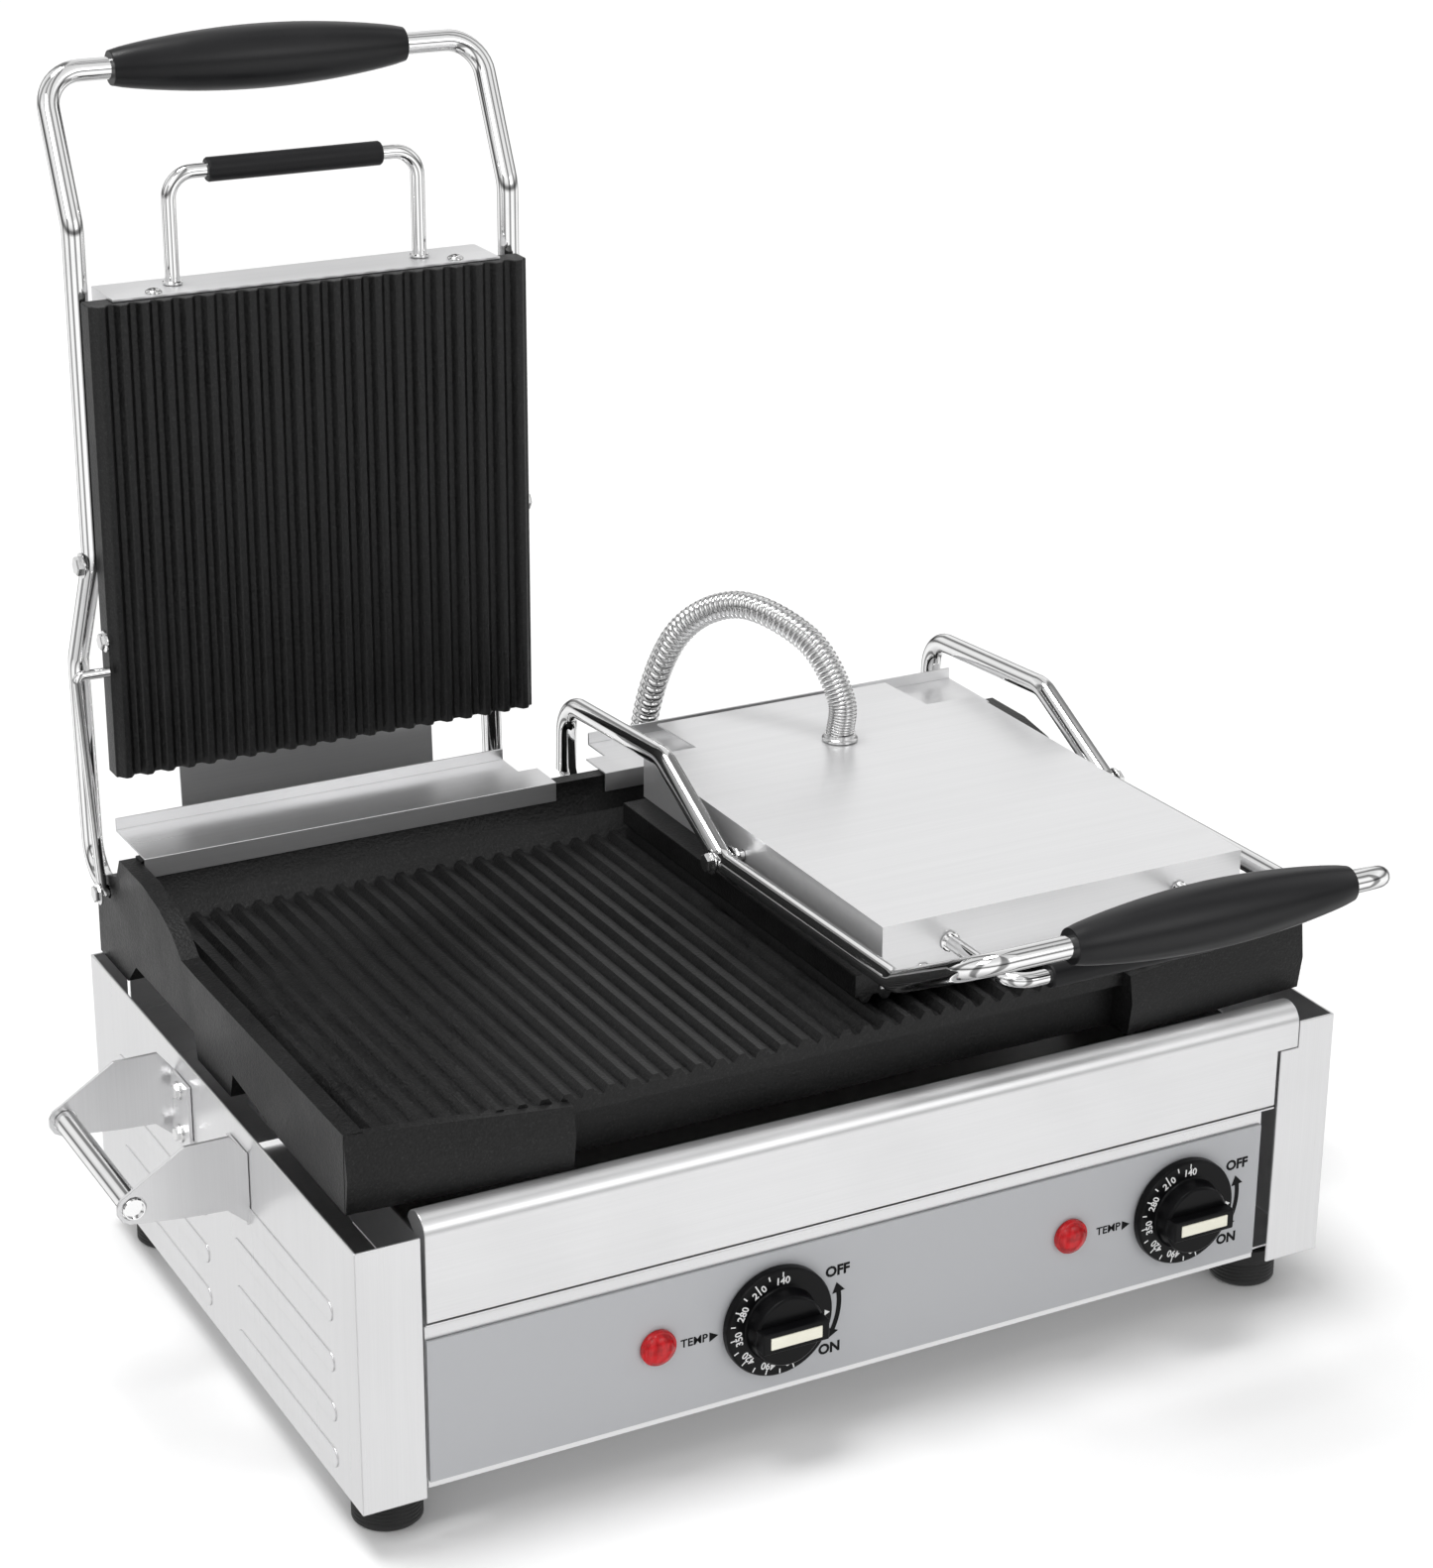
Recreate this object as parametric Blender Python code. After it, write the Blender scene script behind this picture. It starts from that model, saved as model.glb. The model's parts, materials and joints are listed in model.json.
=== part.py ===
"""Double contact grill: one ribbed cast-iron base in a steel housing, and two hinged ribbed lids.

The frame has +X to the operator's right, +Y to the back and +Z up. Its origin is on the table, under the
middle of the machine. The left lid stands open and the right lid is closed.
"""

import math

import bmesh
import bpy
from mathutils import Matrix, Vector

# Housing: a folded steel box on four feet. FRONT is the Y of its front face.
WIDTH, DEPTH, HEIGHT = 0.570, 0.380, 0.144
FRONT = -0.18933
FOOT_HEIGHT, FOOT_RADIUS, FOOT_INSET = 0.024, 0.020, 0.032
SHEET = 0.0015
POST_WIDTH = 0.034
GAP = 0.0003  # between parts that touch
HALF = WIDTH / 2
BACK = FRONT + DEPTH
BASE = FOOT_HEIGHT
TOP = BASE + HEIGHT

# Front: grey control fascia, and the drip tray's front above it
FASCIA_TOP, TRAY_TOP = BASE + 0.0865, BASE + 0.153
TRAY_BOTTOM = BASE + 0.0970
FRONT_INNER, FASCIA_END = HALF - 0.0355, HALF - 0.0430
TRAY_DEPTH = 0.250
NOSE_RADIUS = 0.0105
NOTCH_LEVEL, NOTCH_END = BASE + 0.1286, HALF - 0.0225  # where the tray's nose laps over the right post
DIAL_X, DIAL_Z, DIAL_RADIUS = (-0.058, 0.191), BASE + 0.0485, 0.0305
LAMP_X, LAMP_Z, LAMP_RADIUS = (-0.125, 0.120), BASE + 0.0500, 0.0098
FLANGE_BOTTOM, FLANGE_TOP, FLANGE_WIDTH = BASE + 0.0926, BASE + 0.1325, 0.0260  # of a bracket

# Lower plate: one iron casting with ribs running front to back
RIB_PITCH, RIB_DEPTH, RIB_CREST, RIB_ROOT = 0.012, 0.0040, 0.0034, 0.0030
CREST = BASE + 0.1885
IRON_HALF = 0.2785
WALL = 0.0100
SKIRT = BASE + 0.151
IRON_FRONT, RIBS_BACK = FRONT + 0.024, FRONT + 0.312
BACK_WALL = FRONT + 0.3285
LOWER_RIBS, UPPER_RIBS = 44, 21

# Lids: each turns on a rod behind the back wall. Lid shapes are given closed, measured from the rod's axis.
HINGE_Y, HINGE_Z = FRONT + 0.373, BASE + 0.180
LID_X = (-0.137, 0.137)
OPEN_ANGLE = math.radians(88.7)
UPRIGHT = math.radians(90.0)
ARM_HALF, ARM_RADIUS, ARM_BEND = 0.125, 0.006, 0.020
PIVOT = Vector((0, -0.181, 0.0345))
PLATE_HALF = UPPER_RIBS * RIB_PITCH / 2
PLATE_FRONT, PLATE_BACK = -0.328, -0.064
PLATE_BOTTOM, PLATE_TOP = 0.0090, 0.0260
COVER_HALF, COVER_FRONT, COVER_BACK, COVER_TOP = 0.1115, -0.3295, -0.062, 0.0505
COVER_NOTCH, COVER_TAIL, COVER_SHEET, COVER_LIP = 0.034, -0.0130, 0.0012, 0.0160
GRIP_HALF, GRIP_END, GRIP_MIDDLE = 0.084, 0.0095, 0.0172
GRIP_SHIFT = {"left": -0.004, "right": 0.012}  # along the cross bar
GRIP_BAR = (-0.4390, 0.0760)
LIFT_LEGS, LIFT_REACH, LIFT_LEVEL = (-0.0715, 0.0715), -0.3890, 0.0350
ROD_RADIUS, HOLE_RADIUS = 0.0040, 0.0046
LINK_PIVOT = Vector((0, -0.0130, 0.0085))
LINK_X, LINK_RADIUS, LINK_REACH = 0.1450, 0.0028, 0.1205
LINK_CLOSED, LINK_OPEN = math.radians(4.3), math.radians(100.5)
FERRULE = Vector((0.002, -0.089, COVER_TOP))
CONDUIT_RADIUS = 0.0082

STEEL = ("brushed_steel", (0.78, 0.78, 0.79), 0.32, 1.0)
CHROME = ("chrome", (0.86, 0.86, 0.87), 0.08, 1.0)
IRON = ("cast_iron", (0.035, 0.035, 0.036), 0.62, 0.2)
RUBBER = ("rubber", (0.03, 0.03, 0.03), 0.70, 0.0)
PLASTIC = ("black_plastic", (0.025, 0.025, 0.027), 0.42, 0.0)
LABEL = ("grey_label", (0.51, 0.52, 0.54), 0.45, 0.0)
IVORY = ("ivory_plastic", (0.86, 0.83, 0.70), 0.40, 0.0)
RED = ("red_lens", (0.62, 0.02, 0.02), 0.20, 0.0)
SHEATH = ("element_sheath", (0.30, 0.27, 0.25), 0.50, 0.8)
CERAMIC = ("ceramic", (0.80, 0.78, 0.72), 0.55, 0.0)
COIL = ("conduit_steel", (0.70, 0.70, 0.71), 0.25, 1.0)


# ---- general shapes ----

def material(finish):
    """The finish's material, made once: its name, colour, roughness and metallic value."""
    name, colour, roughness, metallic = finish
    found = bpy.data.materials.get(name)
    if found:
        return found
    made = bpy.data.materials.new(name)
    made.use_nodes = True
    shader = made.node_tree.nodes["Principled BSDF"]
    shader.inputs["Base Color"].default_value = (*colour, 1)
    shader.inputs["Roughness"].default_value = roughness
    shader.inputs["Metallic"].default_value = metallic
    return made


def add(name, shape, finish, parent=None, smooth=True):
    """An object from a bmesh whose points are in its parent's space."""
    bmesh.ops.recalc_face_normals(shape, faces=shape.faces)
    mesh = bpy.data.meshes.new(name)
    shape.to_mesh(mesh)
    shape.free()
    if smooth:
        mesh.shade_smooth()
        mesh.set_sharp_from_angle(angle=math.radians(35))
    obj = bpy.data.objects.new(name, mesh)
    obj.data.materials.append(material(finish))
    obj.parent = parent
    bpy.context.scene.collection.objects.link(obj)
    return obj


def combine(target, operation, shapes):
    """Booleans the shapes (bmeshes in the target's own space) with the target, each as a hidden helper."""
    for number, shape in enumerate(shapes):
        helper = add(f"{target.name}_{operation.lower()}_{number}", shape, STEEL, target.parent)
        helper.hide_render = True
        helper.hide_set(True)
        helper.display_type = "WIRE"
        step = target.modifiers.new(helper.name, "BOOLEAN")
        step.operation = operation
        step.object = helper
    return target


def cut(target, *shapes):
    return combine(target, "DIFFERENCE", shapes)


def join(target, *shapes):
    return combine(target, "UNION", shapes)


def loft(first, second):
    """A closed solid between two outlines with the same number of points."""
    shape = bmesh.new()
    rings = [[shape.verts.new(p) for p in ring] for ring in (first, second)]
    count = len(first)
    for i in range(count):
        j = (i + 1) % count
        shape.faces.new((rings[0][i], rings[0][j], rings[1][j], rings[1][i]))
    for ring in rings:
        shape.faces.new(ring)
    return shape


def prism(axis, outline, low, high):
    """An outline in the other two axes, in X, Y, Z order, extruded along one axis from low to high."""
    def place(pair, along):
        pair = list(pair)
        pair.insert("XYZ".index(axis), along)
        return pair
    return loft([place(p, low) for p in outline], [place(p, high) for p in outline])


def block(low, high):
    (x0, y0, z0), (x1, y1, z1) = low, high
    return prism("Z", [(x0, y0), (x1, y0), (x1, y1), (x0, y1)], z0, z1)


def ring_of(radius, count, centre=(0, 0), turn=0.0):
    """Points round a circle, as an outline."""
    angles = [turn + math.tau * i / count for i in range(count)]
    return [(centre[0] + radius * math.cos(a), centre[1] + radius * math.sin(a)) for a in angles]


def rod(axis, radius, low, high, centre=(0, 0), count=16):
    return prism(axis, ring_of(radius, count, centre, math.pi / count), low, high)


def turned(profile, axis, centre, count=24):
    """A profile of (radius, distance along axis) turned about an axis, with closed ends."""
    shape = bmesh.new()
    rings = []
    for radius, along in profile:
        ring = ring_of(radius, count, (0, 0))
        points = []
        for a, b in ring:
            local = [a, b]
            local.insert("XYZ".index(axis), along)
            points.append(shape.verts.new(Vector(local) + Vector(centre)))
        rings.append(points)
    for low, high in zip(rings, rings[1:]):
        for i in range(count):
            j = (i + 1) % count
            shape.faces.new((low[i], low[j], high[j], high[i]))
    shape.faces.new(rings[0])
    shape.faces.new(rings[-1])
    return shape


def rounded(corners, radius, steps=5):
    """The path through the corners, with each bend turned to an arc of the radius."""
    corners = [Vector(c) for c in corners]
    path = [corners[0]]
    for before, corner, after in zip(corners, corners[1:], corners[2:]):
        towards, away = (before - corner).normalized(), (after - corner).normalized()
        half = towards.angle(away) / 2
        reach = radius / math.tan(half)
        centre = corner + (towards + away).normalized() * radius / math.sin(half)
        start, end = corner + towards * reach - centre, corner + away * reach - centre
        sweep = start.angle(end)
        for i in range(steps + 1):
            t = i / steps
            mixed = start * math.sin((1 - t) * sweep) + end * math.sin(t * sweep)
            path.append(centre + mixed / math.sin(sweep))
    path.append(corners[-1])
    return path


def swept(path, radius, count=10):
    """A round bar along a path, with flat ends. Its sections don't twist."""
    path = [Vector(p) for p in path]
    tangents = []
    for i, point in enumerate(path):
        ahead = path[min(i + 1, len(path) - 1)] - point
        behind = point - path[max(i - 1, 0)]
        tangents.append((ahead.normalized() + behind.normalized()).normalized())
    side = tangents[0].orthogonal().normalized()
    shape = bmesh.new()
    rings = []
    for point, tangent in zip(path, tangents):
        side = (side - tangent * side.dot(tangent)).normalized()
        other = tangent.cross(side)
        ring = ring_of(radius, count)
        rings.append([shape.verts.new(point + side * a + other * b) for a, b in ring])
    for low, high in zip(rings, rings[1:]):
        for i in range(count):
            j = (i + 1) % count
            shape.faces.new((low[i], low[j], high[j], high[i]))
    shape.faces.new(rings[0])
    shape.faces.new(rings[-1])
    return shape


def smooth_path(points, count):
    """A Catmull-Rom curve through the points, read at even steps of its parameter."""
    points = [Vector(p) for p in points]
    ends = [2 * points[0] - points[1], *points, 2 * points[-1] - points[-2]]
    path = []
    for step in range(count + 1):
        at = step / count * (len(points) - 1)
        i = min(int(at), len(points) - 2)
        t = at - i
        a, b, c, d = ends[i:i + 4]
        path.append(0.5 * (2 * b + (c - a) * t + (2 * a - 5 * b + 4 * c - d) * t * t
                           + (3 * b - a - 3 * c + d) * t ** 3))
    return path


def empty(name, parent=None, location=(0, 0, 0), turn=0.0):
    """An axis that pieces hang on: turn is about X, and tips what is on it up and back."""
    obj = bpy.data.objects.new(name, None)
    obj.parent = parent
    obj.location = location
    obj.rotation_euler.x = -turn
    bpy.context.scene.collection.objects.link(obj)
    return obj


def mirrored(side, low, high):
    """An X range from low to high outwards, on the side that the sign gives, in rising order."""
    return tuple(sorted((side * low, side * high)))


# ---- housing ----

def side_panel(name, side):
    """One sheet folded into a side wall with a front post and a rear flange."""
    inner, post, flange = HALF - SHEET, HALF - POST_WIDTH, HALF - 0.020
    outline = [(HALF, FRONT), (HALF, BACK), (flange, BACK), (flange, BACK - SHEET), (inner, BACK - SHEET),
               (inner, FRONT + SHEET), (post, FRONT + SHEET), (post, FRONT)]
    panel = add(name, prism("Z", [(side * x, y) for x, y in outline], BASE, TOP), STEEL)
    if side > 0:
        notch = block((post - 0.001, FRONT - 0.001, NOTCH_LEVEL), (NOTCH_END, FRONT + 0.003, TOP + 0.001))
        cut(panel, notch)
    return panel


def front_panel():
    """The steel sheet behind the fascia, stepped back beside the right post."""
    low, high = FRONT + 0.0028, FRONT + 0.0040
    bottom, top, t = BASE + 0.004, TRAY_BOTTOM - 0.0012, 0.0012
    step, deep = FASCIA_END + 0.0010, FRONT + 0.0130
    panel = add("front_panel", block((-FRONT_INNER, low, bottom), (step, high, top)), STEEL)
    fold = [block((step - t, low, bottom), (step, deep, top)),
            block((step - t, deep - t, bottom), (FRONT_INNER, deep, top))]
    ledge = block((-FRONT_INNER, FRONT + 0.0005, top - t), (FRONT_INNER, deep, top))
    join(panel, *fold, ledge)
    holes = [rod("Y", 0.0060, low - 0.002, high + 0.001, (x, DIAL_Z), 12) for x in DIAL_X]
    holes += [rod("Y", 0.0070, low - 0.002, high + 0.001, (x, LAMP_Z), 12) for x in LAMP_X]
    return cut(panel, *holes)


def control_fascia():
    """The grey printed plate that carries the dials and lamps."""
    low, high = FRONT + 0.0010, FRONT + 0.0025
    shape = block((-FRONT_INNER + 0.0005, low, BASE + 0.008), (FASCIA_END, high, FASCIA_TOP))
    plate = add("control_fascia", shape, LABEL)
    holes = [rod("Y", 0.0060, low - 0.001, high + 0.001, (x, DIAL_Z), 12) for x in DIAL_X]
    holes += [rod("Y", 0.0070, low - 0.001, high + 0.001, (x, LAMP_Z), 12) for x in LAMP_X]
    return cut(plate, *holes)


def base_sheets():
    """The bottom plate and the rear panel."""
    inner = HALF - SHEET - GAP
    floor = block((-inner, FRONT + 0.0145, BASE + GAP), (inner, BACK - SHEET - 0.002, BASE + SHEET))
    add("bottom_plate", floor, STEEL)
    half = HALF - 0.0215
    panel = add("rear_panel", block((-half, BACK - 0.0012, BASE + 0.004), (half, BACK, TOP)), STEEL)
    holes = [rod("Y", 0.0085, BACK - 0.004, BACK + 0.002, conduit_entry(x).xz, 12) for x in LID_X]
    holes.append(rod("Y", 0.0065, BACK - 0.004, BACK + 0.002, (0, BASE + 0.030), 12))
    return cut(panel, *holes)


def feet():
    """Four ribbed rubber feet, wider at the top."""
    profile = [(FOOT_RADIUS * 0.86, 0), (FOOT_RADIUS * 0.92, 0.003), (FOOT_RADIUS * 0.92, 0.014),
               (FOOT_RADIUS, 0.016), (FOOT_RADIUS, FOOT_HEIGHT - GAP)]
    for end, y in (("front", FRONT + FOOT_INSET), ("rear", BACK - FOOT_INSET)):
        for word, side in (("left", -1), ("right", 1)):
            centre = (side * (HALF - FOOT_INSET * 0.8), y, 0)
            add(f"foot_{end}_{word}", turned(profile, "Z", centre), RUBBER)


def side_handle(side, word):
    """A tube carried by two bent sheet brackets on the housing's side."""
    reach, level, end_radius = 0.0605, BASE + 0.1165, 0.0088
    wall = HALF + GAP
    arc = [(wall + reach + end_radius * math.cos(a), level + end_radius * math.sin(a))
           for a in (math.radians(d) for d in range(-75, 76, 30))]
    outline = [(wall, FLANGE_TOP), (wall, FLANGE_BOTTOM), (wall + 0.0120, BASE + 0.1032),
               (wall + 0.0330, BASE + 0.1045), *arc, (wall + 0.0330, BASE + 0.1440),
               (wall + 0.0090, BASE + 0.1440)]
    outline = [(side * x, z) for x, z in outline]
    planes = {"front": FRONT + 0.1381, "rear": FRONT + 0.2445}
    for place, y in planes.items():
        bracket = add(f"{word}_handle_bracket_{place}", prism("Y", outline, y, y + 0.0020), STEEL)
        low, high = mirrored(side, wall, wall + 0.0020)
        near, far = (y, y + FLANGE_WIDTH) if place == "front" else (y + 0.0020 - FLANGE_WIDTH, y + 0.0020)
        join(bracket, block((low, near, FLANGE_BOTTOM), (high, far, FLANGE_TOP)))
        centre = (side * (wall + reach), level)
        cut(bracket, rod("Y", 0.0064, y - 0.002, y + 0.004, centre, 16))
    add(f"{word}_handle_tube", rod("Y", 0.0060, planes["front"] - 0.0015, planes["rear"] + 0.0035,
                                   (side * (wall + reach), level)), CHROME)


# ---- controls and electrics ----

def dial(number, x):
    """A skirted knob with a bar grip and its ivory insert, on a shaft from the thermostat behind."""
    word = ("left", "right")[number]
    face = FRONT + 0.0006
    profile = [(DIAL_RADIUS - 0.0008, 0), (DIAL_RADIUS, -0.0012), (DIAL_RADIUS, -0.0042),
               (DIAL_RADIUS - 0.0015, -0.0058), (0.0205, -0.0064), (0.0195, -0.0150), (0.0185, -0.0160)]
    knob = add(f"{word}_dial", turned(profile, "Y", (x, face, DIAL_Z), 28), PLASTIC)
    bar = block((x - 0.0190, face - 0.0225, DIAL_Z - 0.0058), (x + 0.0190, face - 0.0140, DIAL_Z + 0.0058))
    join(knob, bar)
    pocket = block((x - 0.0150, face - 0.0240, DIAL_Z - 0.0036), (x + 0.0150, face - 0.0213, DIAL_Z + 0.0036))
    cut(knob, pocket, rod("Y", 0.0036, face - 0.0110, face + 0.001, (x, DIAL_Z), 12))
    add(f"{word}_dial_insert", block((x - 0.0147, face - 0.0228, DIAL_Z - 0.0033),
                                     (x + 0.0147, face - 0.0216, DIAL_Z + 0.0033)), IVORY)
    stat = add(f"{word}_thermostat", block((x - 0.0230, FRONT + 0.0080, DIAL_Z - 0.0200),
                                           (x + 0.0230, FRONT + 0.0380, DIAL_Z + 0.0200)), CERAMIC)
    join(stat, rod("Y", 0.0032, FRONT - 0.0095, FRONT + 0.0100, (x, DIAL_Z), 12))


def lamp(number, x):
    """A domed red lens on a stem through the panel."""
    profile = [(0.0062, 0.0120), (0.0062, 0.0006), (LAMP_RADIUS, 0.0006), (LAMP_RADIUS, -0.0010),
               (LAMP_RADIUS * 0.86, -0.0036), (LAMP_RADIUS * 0.55, -0.0052), (LAMP_RADIUS * 0.15, -0.0058)]
    add(f"{('left', 'right')[number]}_lamp", turned(profile, "Y", (x, FRONT, LAMP_Z), 20), RED)


def hairpin(half, front, back, level, runs):
    """A heating element's path: runs side by side, joined by round turns."""
    pitch = 2 * half / (runs - 1)
    path = []
    for i in range(runs):
        x = -half + i * pitch
        path += [(x, y, level) for y in ((back, front) if i % 2 == 0 else (front, back))]
    return rounded(path, pitch / 2 - 0.002, 3)


def electrics():
    """The elements under the lower plate, the terminal block and the cable gland."""
    for word, x in zip(("left", "right"), LID_X):
        flat = hairpin(0.090, FRONT + 0.060, FRONT + 0.270, CREST - 0.0230, 4)
        path = [Vector((x, 0, 0)) + p for p in flat]
        add(f"{word}_lower_element", swept(path, 0.0035, 8), SHEATH)
    block_low, block_high = (-0.030, BACK - 0.052, BASE + 0.0021), (0.030, BACK - 0.030, BASE + 0.0200)
    terminal = add("terminal_block", block(block_low, block_high), CERAMIC)
    near, far = block_low[1] - 0.001, block_low[1] + 0.006
    cut(terminal, *[block((x - 0.0050, near, BASE + 0.0080), (x + 0.0050, far, BASE + 0.0160))
                    for x in (-0.020, 0.0, 0.020)])
    profile = [(0.0060, -0.0100), (0.0060, GAP), (0.0100, GAP), (0.0100, 0.0080), (0.0080, 0.0100),
               (0.0080, 0.0160)]
    gland = add("cable_gland", turned(profile, "Y", (0, BACK, BASE + 0.030), 20), PLASTIC)
    cut(gland, rod("Y", 0.0042, BACK - 0.020, BACK + 0.020, (0, BASE + 0.030), 12))


# ---- drip tray ----

def drip_tray():
    """A pan that slides in over the fascia. Its front rolls over into a bullnose that laps the right post."""
    outer, inner = FRONT_INNER - 0.0045, FRONT_INNER - 0.0057
    low, rim = TRAY_BOTTOM + 0.0030, BASE + 0.1380
    front, back = FRONT + 0.0022, FRONT + TRAY_DEPTH
    face_half = FRONT_INNER - 0.0005
    centre_y, centre_z = FRONT + NOSE_RADIUS, TRAY_TOP - NOSE_RADIUS
    nose = [(centre_y + NOSE_RADIUS * math.cos(a), centre_z + NOSE_RADIUS * math.sin(a))
            for a in (math.radians(d) for d in range(20, 181, 20))]
    outline = [*nose, (FRONT, TRAY_BOTTOM), (front, TRAY_BOTTOM), (front, centre_z - 0.0100)]
    tray = add("drip_tray", prism("X", outline, -face_half, face_half), STEEL)
    pan = block((-outer, front - 0.0010, low), (outer, back, rim))
    lap = [*nose, (FRONT, NOTCH_LEVEL + 0.0005), (front, NOTCH_LEVEL + 0.0005)]
    join(tray, pan, prism("X", lap, face_half - 0.001, NOTCH_END - 0.0005))
    wall = outer - inner
    cut(tray, block((-inner, front + wall, low + wall), (inner, back - wall, rim + 0.001)))


# ---- lower plate ----

def rib_outline(ribs, crest, root, base):
    """The section of a ribbed plate in X and Z: ribs on the crest side, flat at base."""
    half = ribs * RIB_PITCH / 2
    points = [(-half, base), (-half, root)]
    for i in range(ribs):
        middle = -half + (i + 0.5) * RIB_PITCH
        foot = (RIB_PITCH - RIB_ROOT) / 2
        points += [(middle - foot, root), (middle - RIB_CREST / 2, crest), (middle + RIB_CREST / 2, crest),
                   (middle + foot, root)]
    return points + [(half, root), (half, base)]


def cheek_outline():
    """The side wall of the casting in Y and Z, from the front corner round to the rear boss."""
    points = [(0.0260, 0.1510), (0.0250, 0.1935), (0.2200, 0.1935), (0.2440, 0.1940), (0.2580, 0.2040),
              (0.2765, 0.2106), (0.3025, 0.2148), (0.3387, 0.2148), (0.3450, 0.2030), (0.3600, 0.1980),
              (0.3700, 0.1940), (0.3800, 0.1860), (0.3810, 0.1448), (0.3350, 0.1448), (0.3200, 0.1590),
              (0.2300, 0.1590), (0.2260, 0.1448), (0.1780, 0.1448), (0.1740, 0.1590), (0.1100, 0.1520)]
    return [(FRONT + y, BASE + z) for y, z in points]


def apron(side):
    """The raised front corner, whose rim falls away towards the drain gap in the middle."""
    def section(x, y, rim):
        points = [(y, 0.1510), (y - 0.0030, 0.1700), (y, rim), (y + 0.0045, rim), (y + 0.0120, 0.1845),
                  (y + 0.0200, 0.1800), (y + 0.0200, 0.1510)]
        return [(side * x, FRONT + a, BASE + b) for a, b in points]
    return loft(section(IRON_HALF - 0.0002, 0.0250, 0.1933), section(0.1620, 0.0175, 0.1850))


def lug(x):
    """An upright ear that holds a hinge rod, rooted in the rear shelf."""
    arc = [(HINGE_Y + 0.010 * math.cos(a), HINGE_Z + 0.010 * math.sin(a))
           for a in (math.radians(d) for d in range(-20, 201, 20))]
    outline = [*arc, (HINGE_Y - 0.0100, BASE + 0.1600), (HINGE_Y + 0.0078, BASE + 0.1600)]
    return prism("X", outline, x - 0.0050, x + 0.0050)


def lower_plate():
    """The casting: ribbed slab, side cheeks, back wall, rear shelf with lugs, and front aprons."""
    root, under = CREST - RIB_DEPTH, CREST - 0.0110
    ribs = prism("Y", rib_outline(LOWER_RIBS, CREST, root, under), IRON_FRONT, RIBS_BACK)
    plate = add("lower_plate", ribs, IRON)
    inner = IRON_HALF - WALL
    edge = RIB_PITCH * LOWER_RIBS / 2
    front_wall = block((-inner - 0.002, IRON_FRONT + 0.0090, SKIRT),
                       (inner + 0.002, IRON_FRONT + 0.0170, root - 0.001))
    gutters = [block((low, IRON_FRONT + 0.0005, under), (high, RIBS_BACK, root))
               for low, high in (mirrored(side, edge - 0.0005, inner + 0.001) for side in (-1, 1))]
    cheeks = [prism("X", cheek_outline(), *mirrored(side, inner, IRON_HALF)) for side in (-1, 1)]
    ramp = [(RIBS_BACK - 0.0040, under), (RIBS_BACK - 0.0040, root), (RIBS_BACK, root + 0.0010),
            (BACK_WALL - 0.0040, CREST + 0.0080), (BACK_WALL, CREST + 0.0180), (BACK_WALL, BASE + 0.2164),
            (BACK_WALL + 0.0090, BASE + 0.2164), (BACK_WALL + 0.0090, BASE + 0.1650),
            (FRONT + 0.3808, BASE + 0.1650), (FRONT + 0.3808, BASE + 0.1550), (BACK_WALL, BASE + 0.1550),
            (BACK_WALL, under)]
    wall = prism("X", ramp, -inner - 0.001, inner + 0.001)
    lugs = [lug(x + side * (ARM_HALF - 0.0085)) for x in LID_X for side in (-1, 1)]
    join(plate, front_wall, *gutters, *cheeks, wall, *lugs, apron(-1), apron(1))
    links = [rod("X", LINK_RADIUS + 0.0012, *mirrored(side, IRON_HALF - 0.0055, IRON_HALF + 0.002),
                 (HINGE_Y + LINK_PIVOT.y, HINGE_Z + LINK_PIVOT.z), 12) for side in (-1, 1)]
    bores = [rod("X", HOLE_RADIUS, x - ARM_HALF + 0.002, x + ARM_HALF - 0.002, (HINGE_Y, HINGE_Z))
             for x in LID_X]
    return cut(plate, *bores, *links)


def hinge_cover(word, low, high, tab):
    """A bent sheet over a lid's hinge: a lip in front, a flat top and a low upstand at the back."""
    y0, y1 = FRONT + 0.3260, FRONT + 0.3735
    z0, z1, z2 = BASE + 0.2068, BASE + 0.2184, BASE + 0.2250
    t = COVER_SHEET
    outline = [(y0, z0), (y0, z1), (y1 - t, z1), (y1 - t, z2), (y1, z2), (y1, z1 - t), (y0 + t, z1 - t),
               (y0 + t, z0)]
    sheet = add(f"{word}_hinge_cover", prism("X", outline, low, high), STEEL)
    notch = (high - tab, high + 0.001) if word == "left" else (low - 0.001, low + tab)
    return cut(sheet, block((notch[0], y1 - 0.022, z0), (notch[1], y1 + 0.001, z2 + 0.001)))


# ---- lids ----

def tilted(point, turn):
    """A point of the lid, turned up and back about the hinge."""
    return Matrix.Rotation(-turn, 3, "X") @ point


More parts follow.
